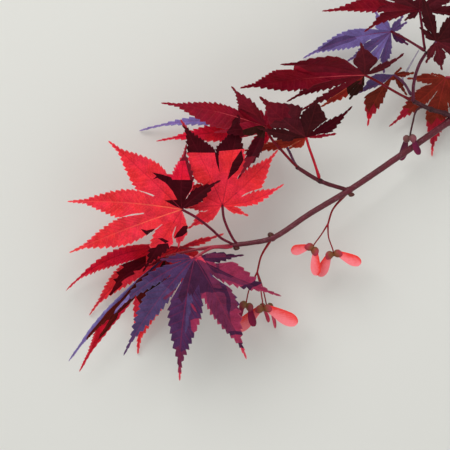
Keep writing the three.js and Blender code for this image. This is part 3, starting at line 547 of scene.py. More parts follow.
# The finishes of the nutlets and wings of the darker fruit
DARK_FRUIT = {
    "lower_fruit_left": ("dark_nutlet", "dark_wing"),
    "lower_fruit_back": ("dark_nutlet", "bright_dark_wing"),
    "upper_fruit": ("dusky_nutlet", "dusky_wing"),
}

BUDS = [[5.2, -10.4, 28.2], [20.6, -4.3, 28.6], [56.9, 13.7, 24.2]]
BUD_SIZE = (1.35, 0.95, 0.95)  # half sizes
BUD_TAPER = 0.25
BUD_SCALES = 0.07  # how far the scales stand out

# The studio, in metres, and the camera's sensor in mm
FLOOR_SIZE = 3
FLOOR_DROP = 0.0002
SENSOR = 36


def seen(x, y, height):
    """A point at that height which the camera sees over (x, y) of the surface."""
    pull = 1 - height / EYE_HEIGHT
    return Vector((x * pull, y * pull, height))


# The layout's place in the frame, from where the cut end is
cut_end = next(m for m in frame["record"]["mounts"] if m["name"] == "cut_end")
shift = Vector(cut_end["pos_m"]) / MM - seen(*STEMS["main_stem"][0][:3])


def placed(point):
    return (point + shift) * MM


def in_picture(point):
    """Where a point of the frame is seen in the picture, in mm of the surface."""
    at = point / MM - shift
    push = 1 / (1 - at.z / EYE_HEIGHT)
    return Vector((at.x * push, at.y * push))


# Paints and finishes


def colour(code):
    """A colour in linear light, from its sRGB hex code."""

    def linear(v):
        v /= 255
        return v / 12.92 if v <= 0.04045 else ((v + 0.055) / 1.055) ** 2.4

    return (*[linear(int(code[i : i + 2], 16)) for i in (0, 2, 4)], 1.0)


def group(name, colours, numbers=()):
    """A node group that takes these colours and numbers, and gives a colour, a roughness and a height."""
    tree = bpy.data.node_groups.new(name, "ShaderNodeTree")
    sockets = [(label, "INPUT", "NodeSocketColor") for label in colours]
    sockets += [(label, "INPUT", "NodeSocketFloat") for label in numbers]
    sockets.append(("Color", "OUTPUT", "NodeSocketColor"))
    sockets += [(label, "OUTPUT", "NodeSocketFloat") for label in ("Roughness", "Height")]
    for label, way, kind in sockets:
        tree.interface.new_socket(label, in_out=way, socket_type=kind)
    return tree, tree.nodes.new("NodeGroupInput").outputs, tree.nodes.new("NodeGroupOutput")


def give(tree, out, color, roughness, height):
    for label, source in (("Color", color), ("Roughness", roughness), ("Height", height)):
        tree.links.new(source, out.inputs[label])


def node(tree, kind, links=(), **values):
    made = tree.nodes.new(kind)
    for key, value in values.items():
        setattr(made, key, value)
    for socket, source in links:
        if hasattr(source, "is_output"):
            tree.links.new(source, made.inputs[socket])
        else:
            made.inputs[socket].default_value = source
    return made


def arithmetic(tree, operation, a, b=0.0):
    return node(tree, "ShaderNodeMath", [(0, a), (1, b)], operation=operation).outputs[0]


def ramp(tree, value, low, high, start=0.0, end=1.0):
    links = [(0, value), (1, low), (2, high), (3, start), (4, end)]
    return node(tree, "ShaderNodeMapRange", links, interpolation_type="SMOOTHSTEP").outputs[0]


def line_along(tree, distance, sure, gone):
    """1 up to one distance and 0 from the other on."""
    return ramp(tree, distance, sure, gone, 1.0, 0.0)


def spread(tree, noise_value, start, end):
    """Noise, most of which lies between 0.3 and 0.7, spread from start to end."""
    return ramp(tree, noise_value, 0.3, 0.7, start, end)


def blended(tree, share, a, b):
    return node(tree, "ShaderNodeMix", [(0, share), (6, a), (7, b)], data_type="RGBA").outputs[2]


def shifted(tree, base, **links):
    """A colour with another hue or value."""
    links = [("Color", base), *((key.capitalize(), source) for key, source in links.items())]
    return node(tree, "ShaderNodeHueSaturation", links).outputs[0]


def cloud(tree, scale, detail=2.0):
    """Even noise. The scale is in waves for each metre."""
    where = node(tree, "ShaderNodeTexCoord").outputs["Object"]
    links = [("Vector", where), ("Scale", scale), ("Detail", detail)]
    return node(tree, "ShaderNodeTexNoise", links).outputs[0]


def own_places(tree, name):
    """The three numbers that a mesh keeps for each of its points."""
    kept = node(tree, "ShaderNodeAttribute", attribute_name=name)
    return node(tree, "ShaderNodeSeparateXYZ", [(0, kept.outputs["Vector"])]).outputs


# The blade of a leaf: veins and rim from the leaf's own measures, and a fine uneven stipple. The rim is a
# painted glow of backlight along the margin
tree, put, out = group("leaf_blade", ("Blade", "Rib", "Vein", "Rim"), ("Vein strength", "Rim strength"))
to_rib, to_vein, to_rim = own_places(tree, "leaf_measures")
rib_line = line_along(tree, to_rib, 0.1, 0.45)
vein_line = line_along(tree, to_vein, 0.03, 0.28)
# Painted light: a lighter colour near the margin stands in for light glowing through the leaf's edge
glow_rim_line = line_along(tree, to_rim, 0.12, 0.42)
# Side veins are fainter than midribs, and fade before the margin
vein_line = arithmetic(tree, "MULTIPLY", vein_line, ramp(tree, to_rim, 0.2, 1.4))
vein_line = arithmetic(tree, "MULTIPLY", vein_line, 0.55)
blotch = cloud(tree, 240, 3.0)
stipple = cloud(tree, 1500)
light = arithmetic(tree, "ADD", spread(tree, blotch, -0.16, 0.16), spread(tree, stipple, -0.12, 0.12))
light = arithmetic(tree, "ADD", light, 1.0)
base = shifted(tree, put["Blade"], hue=spread(tree, cloud(tree, 110), 0.4975, 0.5025), value=light)
for strip, strength, tint in (
    (vein_line, "Vein strength", "Vein"),
    (rib_line, "Vein strength", "Rib"),
    (glow_rim_line, "Rim strength", "Rim"),
):
    base = blended(tree, arithmetic(tree, "MULTIPLY", strip, put[strength]), base, put[tint])
line = arithmetic(tree, "MAXIMUM", rib_line, vein_line)
height = arithmetic(tree, "SUBTRACT", arithmetic(tree, "MULTIPLY", stipple, 0.5), line)
give(tree, out, base, spread(tree, blotch, 0.42, 0.6), height)
LEAF_GROUP = tree

# Bark: soft patches, a fine grain and small flecks
tree, put, out = group("young_bark", ("Bark", "Fleck"), ("Fleck share",))
patches = cloud(tree, 350, 3.0)
grain = cloud(tree, 2200)
light = arithmetic(tree, "ADD", spread(tree, patches, 0.78, 1.14), ramp(tree, grain, 0.35, 0.65, -0.08, 0.08))
fleck = arithmetic(tree, "MULTIPLY", ramp(tree, cloud(tree, 900, 1.0), 0.6, 0.72), put["Fleck share"])
base = blended(tree, fleck, shifted(tree, put["Bark"], value=light), put["Fleck"])
give(tree, out, base, spread(tree, patches, 0.3, 0.5), arithmetic(tree, "ADD", grain, fleck))
BARK_GROUP = tree

# Seeds: one tint runs into another over the seed's own places, with fine lines along the wing
MOTTLE = 0.12
tree, put, out = group("winged_seed", ("Pale", "Deep"))
across, phase, _ = own_places(tree, "seed_places")
mottle = spread(tree, cloud(tree, 700, 3.0), -MOTTLE, MOTTLE)
lines = arithmetic(tree, "MULTIPLY", arithmetic(tree, "SINE", phase), 0.07)
depth = arithmetic(tree, "ADD", arithmetic(tree, "ADD", across, mottle), lines)
base = blended(tree, ramp(tree, depth, 0.0, 1.0), put["Pale"], put["Deep"])
give(tree, out, base, ramp(tree, mottle, -MOTTLE, MOTTLE, 0.35, 0.55), arithmetic(tree, "ADD", lines, mottle))
SEED_GROUP = tree


def finish(name, pattern, values, bump, depth, specular):
    """A material with the pattern's colour and roughness, and its height as a relief."""
    material = bpy.data.materials.new(name)
    material.use_nodes = True
    tree = material.node_tree
    shader = tree.nodes["Principled BSDF"]
    shader.inputs["Specular IOR Level"].default_value = specular
    painted = node(tree, "ShaderNodeGroup", node_tree=pattern)
    for label, value in values.items():
        painted.inputs[label].default_value = value
    relief = [("Strength", bump), ("Distance", depth), ("Height", painted.outputs["Height"])]
    tree.links.new(node(tree, "ShaderNodeBump", relief).outputs["Normal"], shader.inputs["Normal"])
    tree.links.new(painted.outputs["Color"], shader.inputs["Base Color"])
    tree.links.new(painted.outputs["Roughness"], shader.inputs["Roughness"])
    material.diffuse_color = next(iter(values.values()))
    return material


def finishes(rows, pattern, labels, prefix="", **look):
    """A finish from each row, which has the pattern's inputs and may have the specular level at its end."""
    made = {}
    for name, row in rows.items():
        values = {label: colour(v) if isinstance(v, str) else v for label, v in zip(labels, row)}
        if len(row) > len(labels):
            look["specular"] = row[-1]
        made[name] = finish(prefix + name, pattern, values, **look)
    return made


# Leaf paints: blade, midrib's sides, side veins, rim, vein strength, rim strength. The rim is a painted glow
# of backlight along the margin
PAINTS = {
    "scarlet": ("e02c3a", "ac162c", "f04a50", "ff7c80", 0.36, 0.38),
    "vermilion": ("e22f3c", "f4584c", "f45c54", "ff8484", 0.36, 0.38),
    "ruby": ("d41832", "8e0c22", "8e0c22", "f06070", 0.4, 0.4),
    "rose": ("d03c54", "b01c38", "e06a74", "ff8a90", 0.4, 0.3),
    "crimson": ("7e1022", "8e1826", "a8343c", "b03c4c", 0.32, 0.25),
    "mahogany": ("561612", "7c241c", "7c241c", "7a2c24", 0.4, 0.25),
    "garnet": ("661420", "7a1824", "8e2430", "88303c", 0.4, 0.25),
    "cherry": ("9a1c2c", "7a1424", "b8363e", "d05860", 0.4, 0.35),
    "oxblood": ("501820", "70222a", "70222a", "6c2c36", 0.4, 0.25),
    "burgundy": ("3c0610", "56101c", "56101c", "5c1826", 0.35, 0.2),
    "maroon": ("3a1216", "561a1e", "561a1e", "502024", 0.4, 0.2),
    "brown": ("2e130f", "44201a", "44201a", "48281c", 0.4, 0.2),
    "brown_red": ("66221a", "8c3022", "8c3022", "7c4030", 0.5, 0.2),
    "russet": ("74261c", "9a3024", "9a3024", "a04c3c", 0.5, 0.3),
    "orange": ("8c281e", "701c18", "701c18", "d87050", 0.4, 0.4),
    "wine": ("943050", "ac304c", "ac304c", "c46a80", 0.5, 0.3),
    "plum": ("6a2a48", "8c2c46", "8c2c46", "84506a", 0.45, 0.25),
    "purple": ("4c2c52", "82264a", "82264a", "6c4a68", 0.55, 0.25),
    "violet": ("503e66", "78365c", "78365c", "7a6a90", 0.45, 0.25),
    "blood": ("520814", "701420", "701420", "7c2030", 0.4, 0.2),
    "mulberry": ("4b325a", "782c50", "782c50", "70547c", 0.5, 0.25),
    "iris": ("604c7e", "7c4c84", "7c4c84", "8e7eb0", 0.4, 0.25),
    "dusk": ("42203c", "6c2240", "6c2240", "5c3c56", 0.4, 0.2),
    "lavender": ("7c6cac", "84528c", "84528c", "a69cca", 0.4, 0.3),
}
# Bark, stalks and ribs: bark, fleck, share of flecks, specular level
BARKS = {
    "bark": ("5c1c28", "8c5a68", 0.3, 0.25),
    "node_bark": ("34141a", "5c4838", 0.3, 0.2),
    "dry_bark": ("9a92a0", "5c5058", 0.5, 0.3),
    "dark_bark": ("40161e", "70505c", 0.3, 0.25),
    "red_bark": ("521420", "84485a", 0.3, 0.25),
    "plum_bark": ("54142c", "80506c", 0.3, 0.25),
    "stalk": ("a41434", "d04c60", 0.25, 0.5),
    "deep_stalk": ("6e0e1c", "962a3a", 0.2, 0.12),
    "dark_stalk": ("620e26", "962a44", 0.2, 0.15),
    "bright_stalk": ("b01028", "dc4c5c", 0.2, 0.12),
    "violet_stalk": ("542040", "80486c", 0.25, 0.25),
    "fruit_stalk": ("8c0e1e", "c44450", 0.25, 0.15),
    "rib": ("98182e", "b43242", 0.2, 0.15),
    "light_rib": ("bc3c44", "d05a5c", 0.2, 0.1),
    "dark_rib": ("5c1424", "782034", 0.2, 0.1),
    "bright_rib": ("f4604c", "ff8a70", 0.3, 0.1),
    "plum_rib": ("74244a", "943056", 0.2, 0.1),
    "bud_scale": ("4e221e", "70602e", 0.6, 0.25),
}
# The two ends of a seed's tint
SEEDS = {
    "nutlet": ("764a26", "b8304c"),
    "dark_nutlet": ("70502c", "8e2440"),
    "dusky_nutlet": ("6c4440", "8a4654"),
    "wing": ("fc8088", "f0342c"),
    "dark_wing": ("8c1240", "78103a"),
    "bright_dark_wing": ("cc2c56", "a01c3c"),
    "dusky_wing": ("70183e", "5a1436"),
}
PAINT_ORDER = list(PAINTS)
LEAF_INPUTS = ("Blade", "Rib", "Vein", "Rim", "Vein strength", "Rim strength")
blade_finishes = finishes(PAINTS, LEAF_GROUP, LEAF_INPUTS, "leaf_", bump=0.35, depth=0.00012, specular=0.03)
bark_finishes = finishes(BARKS, BARK_GROUP, ("Bark", "Fleck", "Fleck share"), bump=0.5, depth=0.00015)
seed_finishes = finishes(SEEDS, SEED_GROUP, ("Pale", "Deep"), bump=0.4, depth=0.0002, specular=0.2)


# Making meshes


def alone(obj):
    bpy.ops.object.select_all(action="DESELECT")
    obj.select_set(True)
    bpy.context.view_layer.objects.active = obj


def added(operator, **values):
    """The object that one of Blender's operators makes."""
    bpy.ops.object.select_all(action="DESELECT")
    operator(**values)
    return bpy.context.object


def ball(segments, rings, at=(0, 0, 0)):
    """A ball with a radius of 1 mm."""
    add = bpy.ops.mesh.primitive_uv_sphere_add
    return added(add, segments=segments, ring_count=rings, radius=MM, location=at)


def take_in(obj, node_name):
    """A finished piece that stands for one solid."""
    alone(obj)
    bpy.ops.object.transform_apply(location=True, rotation=True, scale=True)
    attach(obj, "root")
    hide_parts(node_name)


def joined(name, objects):
    alone(objects[0])
    for obj in objects[1:]:
        obj.select_set(True)
    if len(objects) > 1:
        bpy.ops.object.join()
    objects[0].name = name
    objects[0].data.name = name
    return objects[0]


def welded(obj, distance=1e-7, outward=True):
    alone(obj)
    bpy.ops.object.mode_set(mode="EDIT")
    bpy.ops.mesh.select_all(action="SELECT")
    bpy.ops.mesh.remove_doubles(threshold=distance)
    if outward:
        bpy.ops.mesh.normals_make_consistent(inside=False)
    bpy.ops.object.mode_set(mode="OBJECT")


def thickened(obj, thickness):
    """Gives a sheet its thickness, half of it on either side."""
    alone(obj)
    bpy.ops.object.modifier_add(type="SOLIDIFY")
    shell = obj.modifiers[-1]
    shell.thickness = thickness * MM
    shell.offset = 0.0
    bpy.ops.object.modifier_apply(modifier=shell.name)
    welded(obj)
    bpy.ops.object.shade_smooth_by_angle(angle=CREASE)


def keep_places(mesh, name, places):
    attribute = mesh.attributes.new(name, "FLOAT_VECTOR", "POINT")
    attribute.data.foreach_set("vector", [v for place in places for v in place])


def smooth_line(points, step):
    """Points about a step apart on the centripetal curve through others, with their place between those."""
    ends = [points[0] * 2 - points[1], *points, points[-1] * 2 - points[-2]]
    line = []
    for i in range(len(points) - 1):
        p0, p1, p2, p3 = ends[i : i + 4]
        d0, d1, d2 = [max((b - a).length, 1e-6) ** 0.5 for a, b in ((p0, p1), (p1, p2), (p2, p3))]
        t1 = ((p1 - p0) / d0 - (p2 - p0) / (d0 + d1) + (p2 - p1) / d1) * d1
        t2 = ((p2 - p1) / d1 - (p3 - p1) / (d1 + d2) + (p3 - p2) / d2) * d1
        count = max(2, round((p2 - p1).length / step))
        for k in range(count + (i == len(points) - 2)):
            w = k / count
            c2 = -3 * p1 + 3 * p2 - 2 * t1 - t2
            c3 = 2 * p1 - 2 * p2 + t1 + t2
            line.append((p1 + w * t1 + w * w * c2 + w**3 * c3, i + w))
    return line


def tube(name, line, radii, material, ring):
    """A round tube with closed ends, as a curve with a round bevel that is made a mesh."""
    obj = added(bpy.ops.curve.primitive_nurbs_path_add)
    obj.location = (0, 0, 0)
    curve = obj.data
    curve.splines.clear()
    spline = curve.splines.new("POLY")
    spline.points.add(len(line) - 1)
    for point, at, radius in zip(spline.points, line, radii):
        point.co = (*placed(at), 1)
        point.radius = radius
    curve.bevel_depth = MM
    curve.bevel_resolution = ring
    curve.use_fill_caps = True
    bpy.ops.object.convert(target="MESH")
    obj = bpy.context.object
    obj.name = name
    welded(obj)
    bpy.ops.object.shade_smooth()
    obj.data.materials.append(material)
    return obj


def rounded_off(radii, count):
    """Radii with their last few drawn in, as on a ball, to a small flat end."""
    made = list(radii)
    for k in range(count):
        made[-1 - k] *= math.sqrt(max(0.02, 1 - ((count - k) / (count + 0.3)) ** 2))
    return made


def tube_along(name, rows, step, radius_at, material, ring, round_end=0):
    """A tube along rows of [x, y, height], with its radius from a function."""
    line = smooth_line([seen(*row[:3]) for row in rows], step)
    radii = rounded_off([radius_at(point, along) for point, along in line], round_end)
    return tube(name, [point for point, _ in line], radii, material, ring)


def woody_limb(name, rows, relief, ring, paint, node_paint=None):
    nodes = [seen(*row[:3]) for row in rows if len(row) > 4]

    def radius_at(point, along):
        low = min(int(along), len(rows) - 2)
        plain = rows[low][3] + (rows[low + 1][3] - rows[low][3]) * (along - low)
        gaps = [(point - n).length for n in nodes]
        swell = min(1, sum(math.exp(-((gap / NODE_REACH) ** 2)) for gap in gaps))
        scar = sum(math.exp(-(((gap - off) / SCAR_WIDTH) ** 2)) for gap in gaps for off in SCARS)
        return plain * (1 + NODE_SWELL * swell) - SCAR_DEPTH * min(1, scar)

    round_end = 0 if name == "main_stem" else 3
    obj = tube_along(name + "_bark", rows, LIMB_STEP, radius_at, bark_finishes[paint], ring, round_end)
    if node_paint:
        obj.data.materials.append(bark_finishes[node_paint])
        for face in obj.data.polygons:
            centre = face.center / MM - shift
            wave = NODE_BARK_WAVE[0] * noise.noise(centre * NODE_BARK_WAVE[1])
            if any((centre - n).length < NODE_BARK_REACH + wave for n in nodes):
                face.material_index = 1
    for vertex in obj.data.vertices:
        at = vertex.co / MM
        lump = sum(noise.noise(at * fineness) * share for fineness, share in LUMPS)
        vertex.co += vertex.normal * (lump * relief * MM)
    return obj


# Leaves


def lobe_shape(t, widest):
    """How wide a lobe is along its length, from 0 at both ends to 1 at its widest."""
    if t < widest:
        return math.sin(math.pi / 2 * t / widest) ** LOBE_RISE_POWER
    x = min(1, (t - widest) / (1 - widest))
    bell = (1 - min(1, x / SHOULDER) ** SHOULDER_POWERS[0]) ** SHOULDER_POWERS[1]
    return (1 - TIP_SHARE) * bell + TIP_SHARE * (1 - x) ** TIP_POWER


class Lobe:
    """One lobe: its midrib from the heart to the tip, on which t runs from 0 to 1, and its width."""

    def __init__(self, heart, heading, reach, rise, paint, bow=0, breadth=1, widest=WIDEST):
        angle = math.radians(heading)
        tip = seen(heart[0] + reach * math.cos(angle), heart[1] + reach * math.sin(angle), heart[2] + rise)
        self.origin = seen(*heart)
        way = tip - self.origin
        self.length = way.length
        self.forward = way / self.length
        self.bow = bow
        self.sideways = Vector((-math.sin(angle), math.cos(angle), 0))
        usual = self.length * (SMALL_LOBE_HALF_WIDTH if self.length < SMALL_LOBE else LOBE_HALF_WIDTH)
        # Where breadth is a pair, the lobe is broader on one side: clockwise, then counterclockwise
        pair = breadth if isinstance(breadth, list) else [breadth, breadth]
        self.half_width = {-1: usual * pair[0], 1: usual * pair[1]}
        self.widest = widest
        self.paint = paint

    def width(self, t, side):
        return self.half_width[side] * lobe_shape(t, self.widest)

    def bow_at(self, distance):
        t = min(1, distance / self.length)
        return 4 * self.bow * self.length * t * (1 - t)

    def arch_at(self, t):
        return 4 * ARCH * self.length * t * (1 - t)

    def rib(self, up, t):
        at = self.origin + self.forward * (t * self.length)
        return at + self.sideways * self.bow_at(t * self.length) + up * self.arch_at(t)

    def margin(self, up, t, width, side):
        return self.rib(up, t) + self.across * (side * width) + up * (FOLD * width)

    def fullness(self, full_length):
        """Lobes shorter than that have finer teeth and a finer rib."""
        return min(1, (self.length / full_length) ** 0.5)


def parting_radius(lobe, side, half_angle):
    share = MOST_WEB
    while share > LEAST_WEB and lobe.width(share, side) < share * lobe.length * math.tan(half_angle):
        share -= WEB_STEP
    return share * lobe.length / math.cos(half_angle)


class Web:
    """Where two neighbouring lobes part, and the line between them up to there."""

    def __init__(self, a, b, up, radius):
        self.pair = (a, b)
        self.up = up
        self.half_angle = a.forward.angle(b.forward) / 2
        sides = ((a, 1), (b, -1))
        self.radius = radius or min(parting_radius(lobe, side, self.half_angle) for lobe, side in sides)
        self.along = self.radius * math.cos(self.half_angle)
        self.middle = (a.forward + b.forward).normalized()
        self.sideways = (a.sideways + b.sideways).normalized()

    def room_for(self, lobe, distance, side):
        """How wide a lobe may be: half the space between the two ribs, or all that its neighbour leaves."""
        other = self.pair[1] if lobe is self.pair[0] else self.pair[0]
        between = 2 * distance * math.tan(self.half_angle)
        between += side * (other.bow_at(distance) - lobe.bow_at(distance))
        left = between - other.width(min(1, distance / other.length), -side) - CLEARANCE
        return max(PARTING * between / 2, left)

    def point(self, share):
        distance = share * self.along
        bow = sum(lobe.bow_at(distance) for lobe in self.pair) / 2
        lift = sum(lobe.arch_at(distance / lobe.length) for lobe in self.pair) / 2
        lift += FOLD * share * self.radius * math.sin(self.half_angle)
        at = self.pair[0].origin + self.middle * (share * self.radius)
        return at + self.sideways * bow + self.up * lift


def margin_rows(lobe, up, web, side, teeth, depth, chance):
    """One side of a lobe, as rows of (share of the length, width, margin point, distance from the margin)."""
    rows = []
    start = web.along / lobe.length if web else OUTER_START
    for share in WEB_ROWS:
        t = share * start
        if web:
            width = share * web.along * math.tan(web.half_angle)
            rows.append((t, width, web.point(share), web.radius * (1 - share)))
        else:
            width = lobe.width(t, side)
            rows.append((t, width, lobe.margin(up, t, width, side), 0.0))
    for i in range(teeth):
        size = depth * (1 + TOOTH_SPREAD * chance.uniform(-1, 1))
        slip = TOOTH_SLIP * chance.uniform(-1, 1)
        for share, way in TOOTH_STATIONS:
            t = start + (1 - start) * (i + share + slip) / (teeth + TOOTHLESS_TIP)
            # The teeth are small near the heart and full-grown from the middle of the lobe on
            grown = min(1, max(LEAST_GROWTH, (t - TOOTH_GROWTH[0]) / TOOTH_GROWTH[1]))
            width = max(lobe.width(t, side), LEAST_TIP * min(1, (1 - t) / TIP_REACH))
            width += way * grown * min(size, TOOTH_LIMIT * width)
            if web:
                width = min(width, web.room_for(lobe, t * lobe.length, side))
            rows.append((t, width, lobe.margin(up, t, width, side), 0.0))
    return rows


def leaf_frame(leaf):
    lobes = [Lobe(leaf["heart"], *row) for row in leaf["lobes"]]
    up = Vector()
    for a, b in zip(lobes, lobes[1:]):
        up += a.forward.cross(b.forward) * (a.length * b.length)
    up.normalize()
    for lobe in lobes:
        lobe.across = up.cross(lobe.forward).normalized()
    radii = leaf.get("webs", [None] * (len(lobes) - 1))
    return lobes, up, [Web(a, b, up, radius) for a, b, radius in zip(lobes, lobes[1:], radii)]


def leaf_blade(name, leaf):
    """A sheet of faces: on each side of each midrib, rows run out to the margin along the side veins."""
    chance = random.Random(name)
    lobes, up, webs = leaf_frame(leaf)
    points = [lobes[0].origin.copy()]
    measures = [(0.0, 0.0, FAR_INSIDE)]
    faces = []
    face_lobes = []

    def add(point, measure):
        points.append(point)
        measures.append(measure)
        return len(points) - 1

    for number, lobe in enumerate(lobes):
        teeth = round(lobe.length * TOOTHED / leaf.get("pitch", TOOTH_PITCH))
        teeth = min(MOST_TEETH, max(LEAST_TEETH, teeth))
        depth = leaf.get("teeth", TOOTH_DEPTH) * lobe.fullness(FULL_TEETH)
        around = [None, *webs, None]
        neighbours = ((-1, around[number]), (1, around[number + 1]))
        sides = {side: margin_rows(lobe, up, web, side, teeth, depth, chance) for side, web in neighbours}
        count = len(sides[1])
        # Where the line to each margin point leaves the midrib
        rib_at = [
            sum(max(VEIN_FOOT * t, t - VEIN_SLANT * width / lobe.length) for t, width, _, _ in pair) / 2
            for pair in zip(*sides.values())
        ]
        vein_rows = [1, *range(len(WEB_ROWS) + 2, count, len(TOOTH_STATIONS))]
        grid = {}
        for row in range(count):
            rib = lobe.rib(up, rib_at[row])
            for side, stations in sides.items():
                _, width, edge, inside = stations[row]
                for column in range(0 if side == 1 else 1, COLUMNS + 1):
                    s = column / COLUMNS
                    here, *veins = [
                        (rib_at[k] * (1 - s) + stations[k][0] * s) * lobe.length for k in (row, *vein_rows)
                    ]
                    to_vein = VEIN_ACROSS * min(abs(vein - here) for vein in veins)
                    swell = PUFF * width * math.sin(math.pi * s) * min(1, to_vein / PUFF_RISE)
                    at = rib.lerp(edge, s) + up * swell
                    grid[row, side * column] = add(at, (s * width, to_vein, (1 - s) * width + inside))
        tip = add(lobe.origin + lobe.forward * lobe.length, (0.0, 0.5, 0.0))
        for side in (1, -1):
            for column in range(COLUMNS):
                a, b = side * column, side * (column + 1)
                strip = [(0, grid[0, a], grid[0, b])]
                for row in range(count - 1):
                    strip.append((grid[row, a], grid[row + 1, a], grid[row + 1, b], grid[row, b]))
                strip.append((grid[count - 1, a], tip, grid[count - 1, b]))
                faces += [face if side == -1 else face[::-1] for face in strip]
                face_lobes += [number] * len(strip)
    mesh = bpy.data.meshes.new(name)
    mesh.from_pydata([placed(p) for p in points], [], faces)
    keep_places(mesh, "leaf_measures", measures)
    mesh.attributes.new("lobe", "INT", "FACE").data.foreach_set("value", face_lobes)
    for paint in PAINT_ORDER:
        mesh.materials.append(blade_finishes[paint])
    for face, number in zip(mesh.polygons, face_lobes):
        face.material_index = PAINT_ORDER.index(lobes[number].paint)
    obj = bpy.data.objects.new(name, mesh)
    bpy.context.scene.collection.objects.link(obj)
    return obj


def inside(point, corners):
    odd = False
    for a, b in zip(corners, corners[1:] + corners[:1]):
        if (a.y > point.y) != (b.y > point.y):
            if point.x < a.x + (point.y - a.y) * (b.x - a.x) / (b.y - a.y):
                odd = not odd
    return odd


def shade(obj, numbers, paint, corners):
    """Paints what is seen inside the corners: painted shade, a painted highlight or another colour of the
    leaf.
    Faces are cut along its sides, by planes through the eye.
    """
    middle = PICTURE / 2
    marks = [Vector(((u - middle) * PIXEL, (middle - v) * PIXEL)) for u, v in corners]
    work = bmesh.new()
    work.from_mesh(obj.data)
    number = work.faces.layers.int["lobe"]

    def on_lobes():
        return [face for face in work.faces if numbers is None or face[number] in numbers]

    for a, b in zip(marks, marks[1:] + marks[:1]):
        centre = (a + b) / 2
        reach = (b - a).length / 2 + SHADE_REACH
        near = [f for f in on_lobes() if any((in_picture(v.co) - centre).length < reach for v in f.verts)]
        if not near:
            continue
        low, high = placed(Vector((*a, 0))), placed(Vector((*b, 0)))
        edges = dict.fromkeys(edge for face in near for edge in face.edges)
        verts = dict.fromkeys(vert for face in near for vert in face.verts)
        side = (low - eye).cross(high - eye).normalized()
        bmesh.ops.bisect_plane(work, geom=[*near, *edges, *verts], plane_co=eye, plane_no=side, dist=1e-6)
    for face in on_lobes():
        if inside(in_picture(face.calc_center_median()), marks):
            face.material_index = PAINT_ORDER.index(paint)
    work.to_mesh(obj.data)
    work.free()


eye = placed(Vector((0, 0, EYE_HEIGHT)))
for name, leaf in LEAVES.items():
    stem = name.removesuffix("_leaf")
    obj = leaf_blade(stem + "_blade", leaf)
    welded(obj, 1e-6, outward=False)
    for area in leaf.get("shades", ()):
        shade(obj, *area)
    thickened(obj, BLADE_THICKNESS)
    take_in(obj, name)

    lobes, up, _ = leaf_frame(leaf)
    ribs = []
    rib_paints = leaf.get("rib_paints", {})
    stations = [k / RIB_STEPS * RIB_REACH for k in range(RIB_STEPS + 1)]
    for number, lobe in enumerate(lobes):
        size = RIB_RADIUS * lobe.fullness(FULL_RIB) * (BOLD_RIB if number in rib_paints else 1)
        line = [lobe.rib(up, t) - up * RIB_SINK for t in stations]
        paint = bark_finishes[rib_paints.get(number, leaf.get("rib_paint", "rib"))]
        ribs.append(tube("rib", line, [size * (1 - RIB_TAPER * t) for t in stations], paint, ring=2))
    take_in(joined(stem + "_ribs", ribs), name)

    def stalk_radius(_, along):
        near_foot = max(0, 1 - (len(leaf["stalk"]) - along) * FOOT_REACH)
        return STALK_RADIUS + (STALK_FOOT - STALK_RADIUS) * near_foot**2

    route = [leaf["heart"], *leaf["stalk"]]
    paint = bark_finishes[leaf["stalk_paint"]]
    stalk = tube_along(stem + "_petiole", route, STALK_STEP, stalk_radius, paint, ring=4, round_end=2)
    take_in(stalk, name)

# Stems, with their bark's relief
for name, rows in STEMS.items():
    limb = woody_limb(name, rows, 0.1, 8 if name == "main_stem" else 6, STEM_PAINTS[name], "node_bark")
    take_in(limb, name)
take_in(woody_limb("dry_twig", DRY_TWIG, 0.12, 4, "dry_bark"), "dry_twig")

# Buds: two pointed scales and a plump middle, along the stem
buds = []
for place in BUDS:
    bud = ball(20, 14, placed(seen(*place)))
    bud.name = "bud"
    bud.scale = BUD_SIZE
    bpy.ops.object.transform_apply(location=False, rotation=False, scale=True)
    for vertex in bud.data.vertices:
        slim = 1 - BUD_TAPER * (vertex.co.x / (BUD_SIZE[0] * MM))
        vertex.co.y *= slim
        vertex.co.z *= slim
        scale_edge = math.cos(2 * math.atan2(vertex.co.z, vertex.co.y)) ** 3
        vertex.co += vertex.normal * MM * BUD_SCALES * scale_edge
    bud.data.materials.append(bark_finishes["bud_scale"])
    alone(bud)
    bpy.ops.object.shade_smooth()
    bpy.ops.object.transform_apply(location=True, rotation=True, scale=True)
    buds.append(bud)
take_in(joined("stem_buds", buds), "main_stem")


# Fruit


def tapered(name, route, foot, end, material):
    """A fine stalk that narrows from its foot to its second station."""

    def radius_at(_, along):
        return foot + (end - foot) * min(1, along)

    return tube_along(name, route, FRUIT_STALK_STEP, radius_at, material, ring=3)


for name, (shared, *branches) in FRUIT_STALKS.items():
    paint = bark_finishes["dark_bark" if name == "upper_fruit_stalk" else "fruit_stalk"]
    foot, fork, end = FRUIT_STALK_RADII
    pieces = [tapered(name, shared, foot, fork, paint)]
    pieces += [tapered(name, branch, fork, end, paint) for branch in branches]
    take_in(joined(name + "_bark", pieces), name)


def half_fruit_frame(half, other):
    """The half's own axes: along its wing, towards the wing's thick edge, and up."""
    centre = seen(*half[0])
    forward = (seen(*half[1]) - centre).normalized()
    away = seen(*half[1]) - seen(*other[1])
    across = Vector((0, 0, 1)).cross(forward).normalized()
    if across.dot(away) < 0:
        across.negate()
    across.rotate(Quaternion(forward, math.radians(half[2])))
    up = forward.cross(across)
    turn = Matrix((forward, across, up)).transposed().to_4x4()
    return Matrix.Translation(placed(centre)) @ turn


def settle(obj, places, matrix, material):
    keep_places(obj.data, "seed_places", places)
    obj.data.transform(matrix)
    obj.data.materials.append(material)


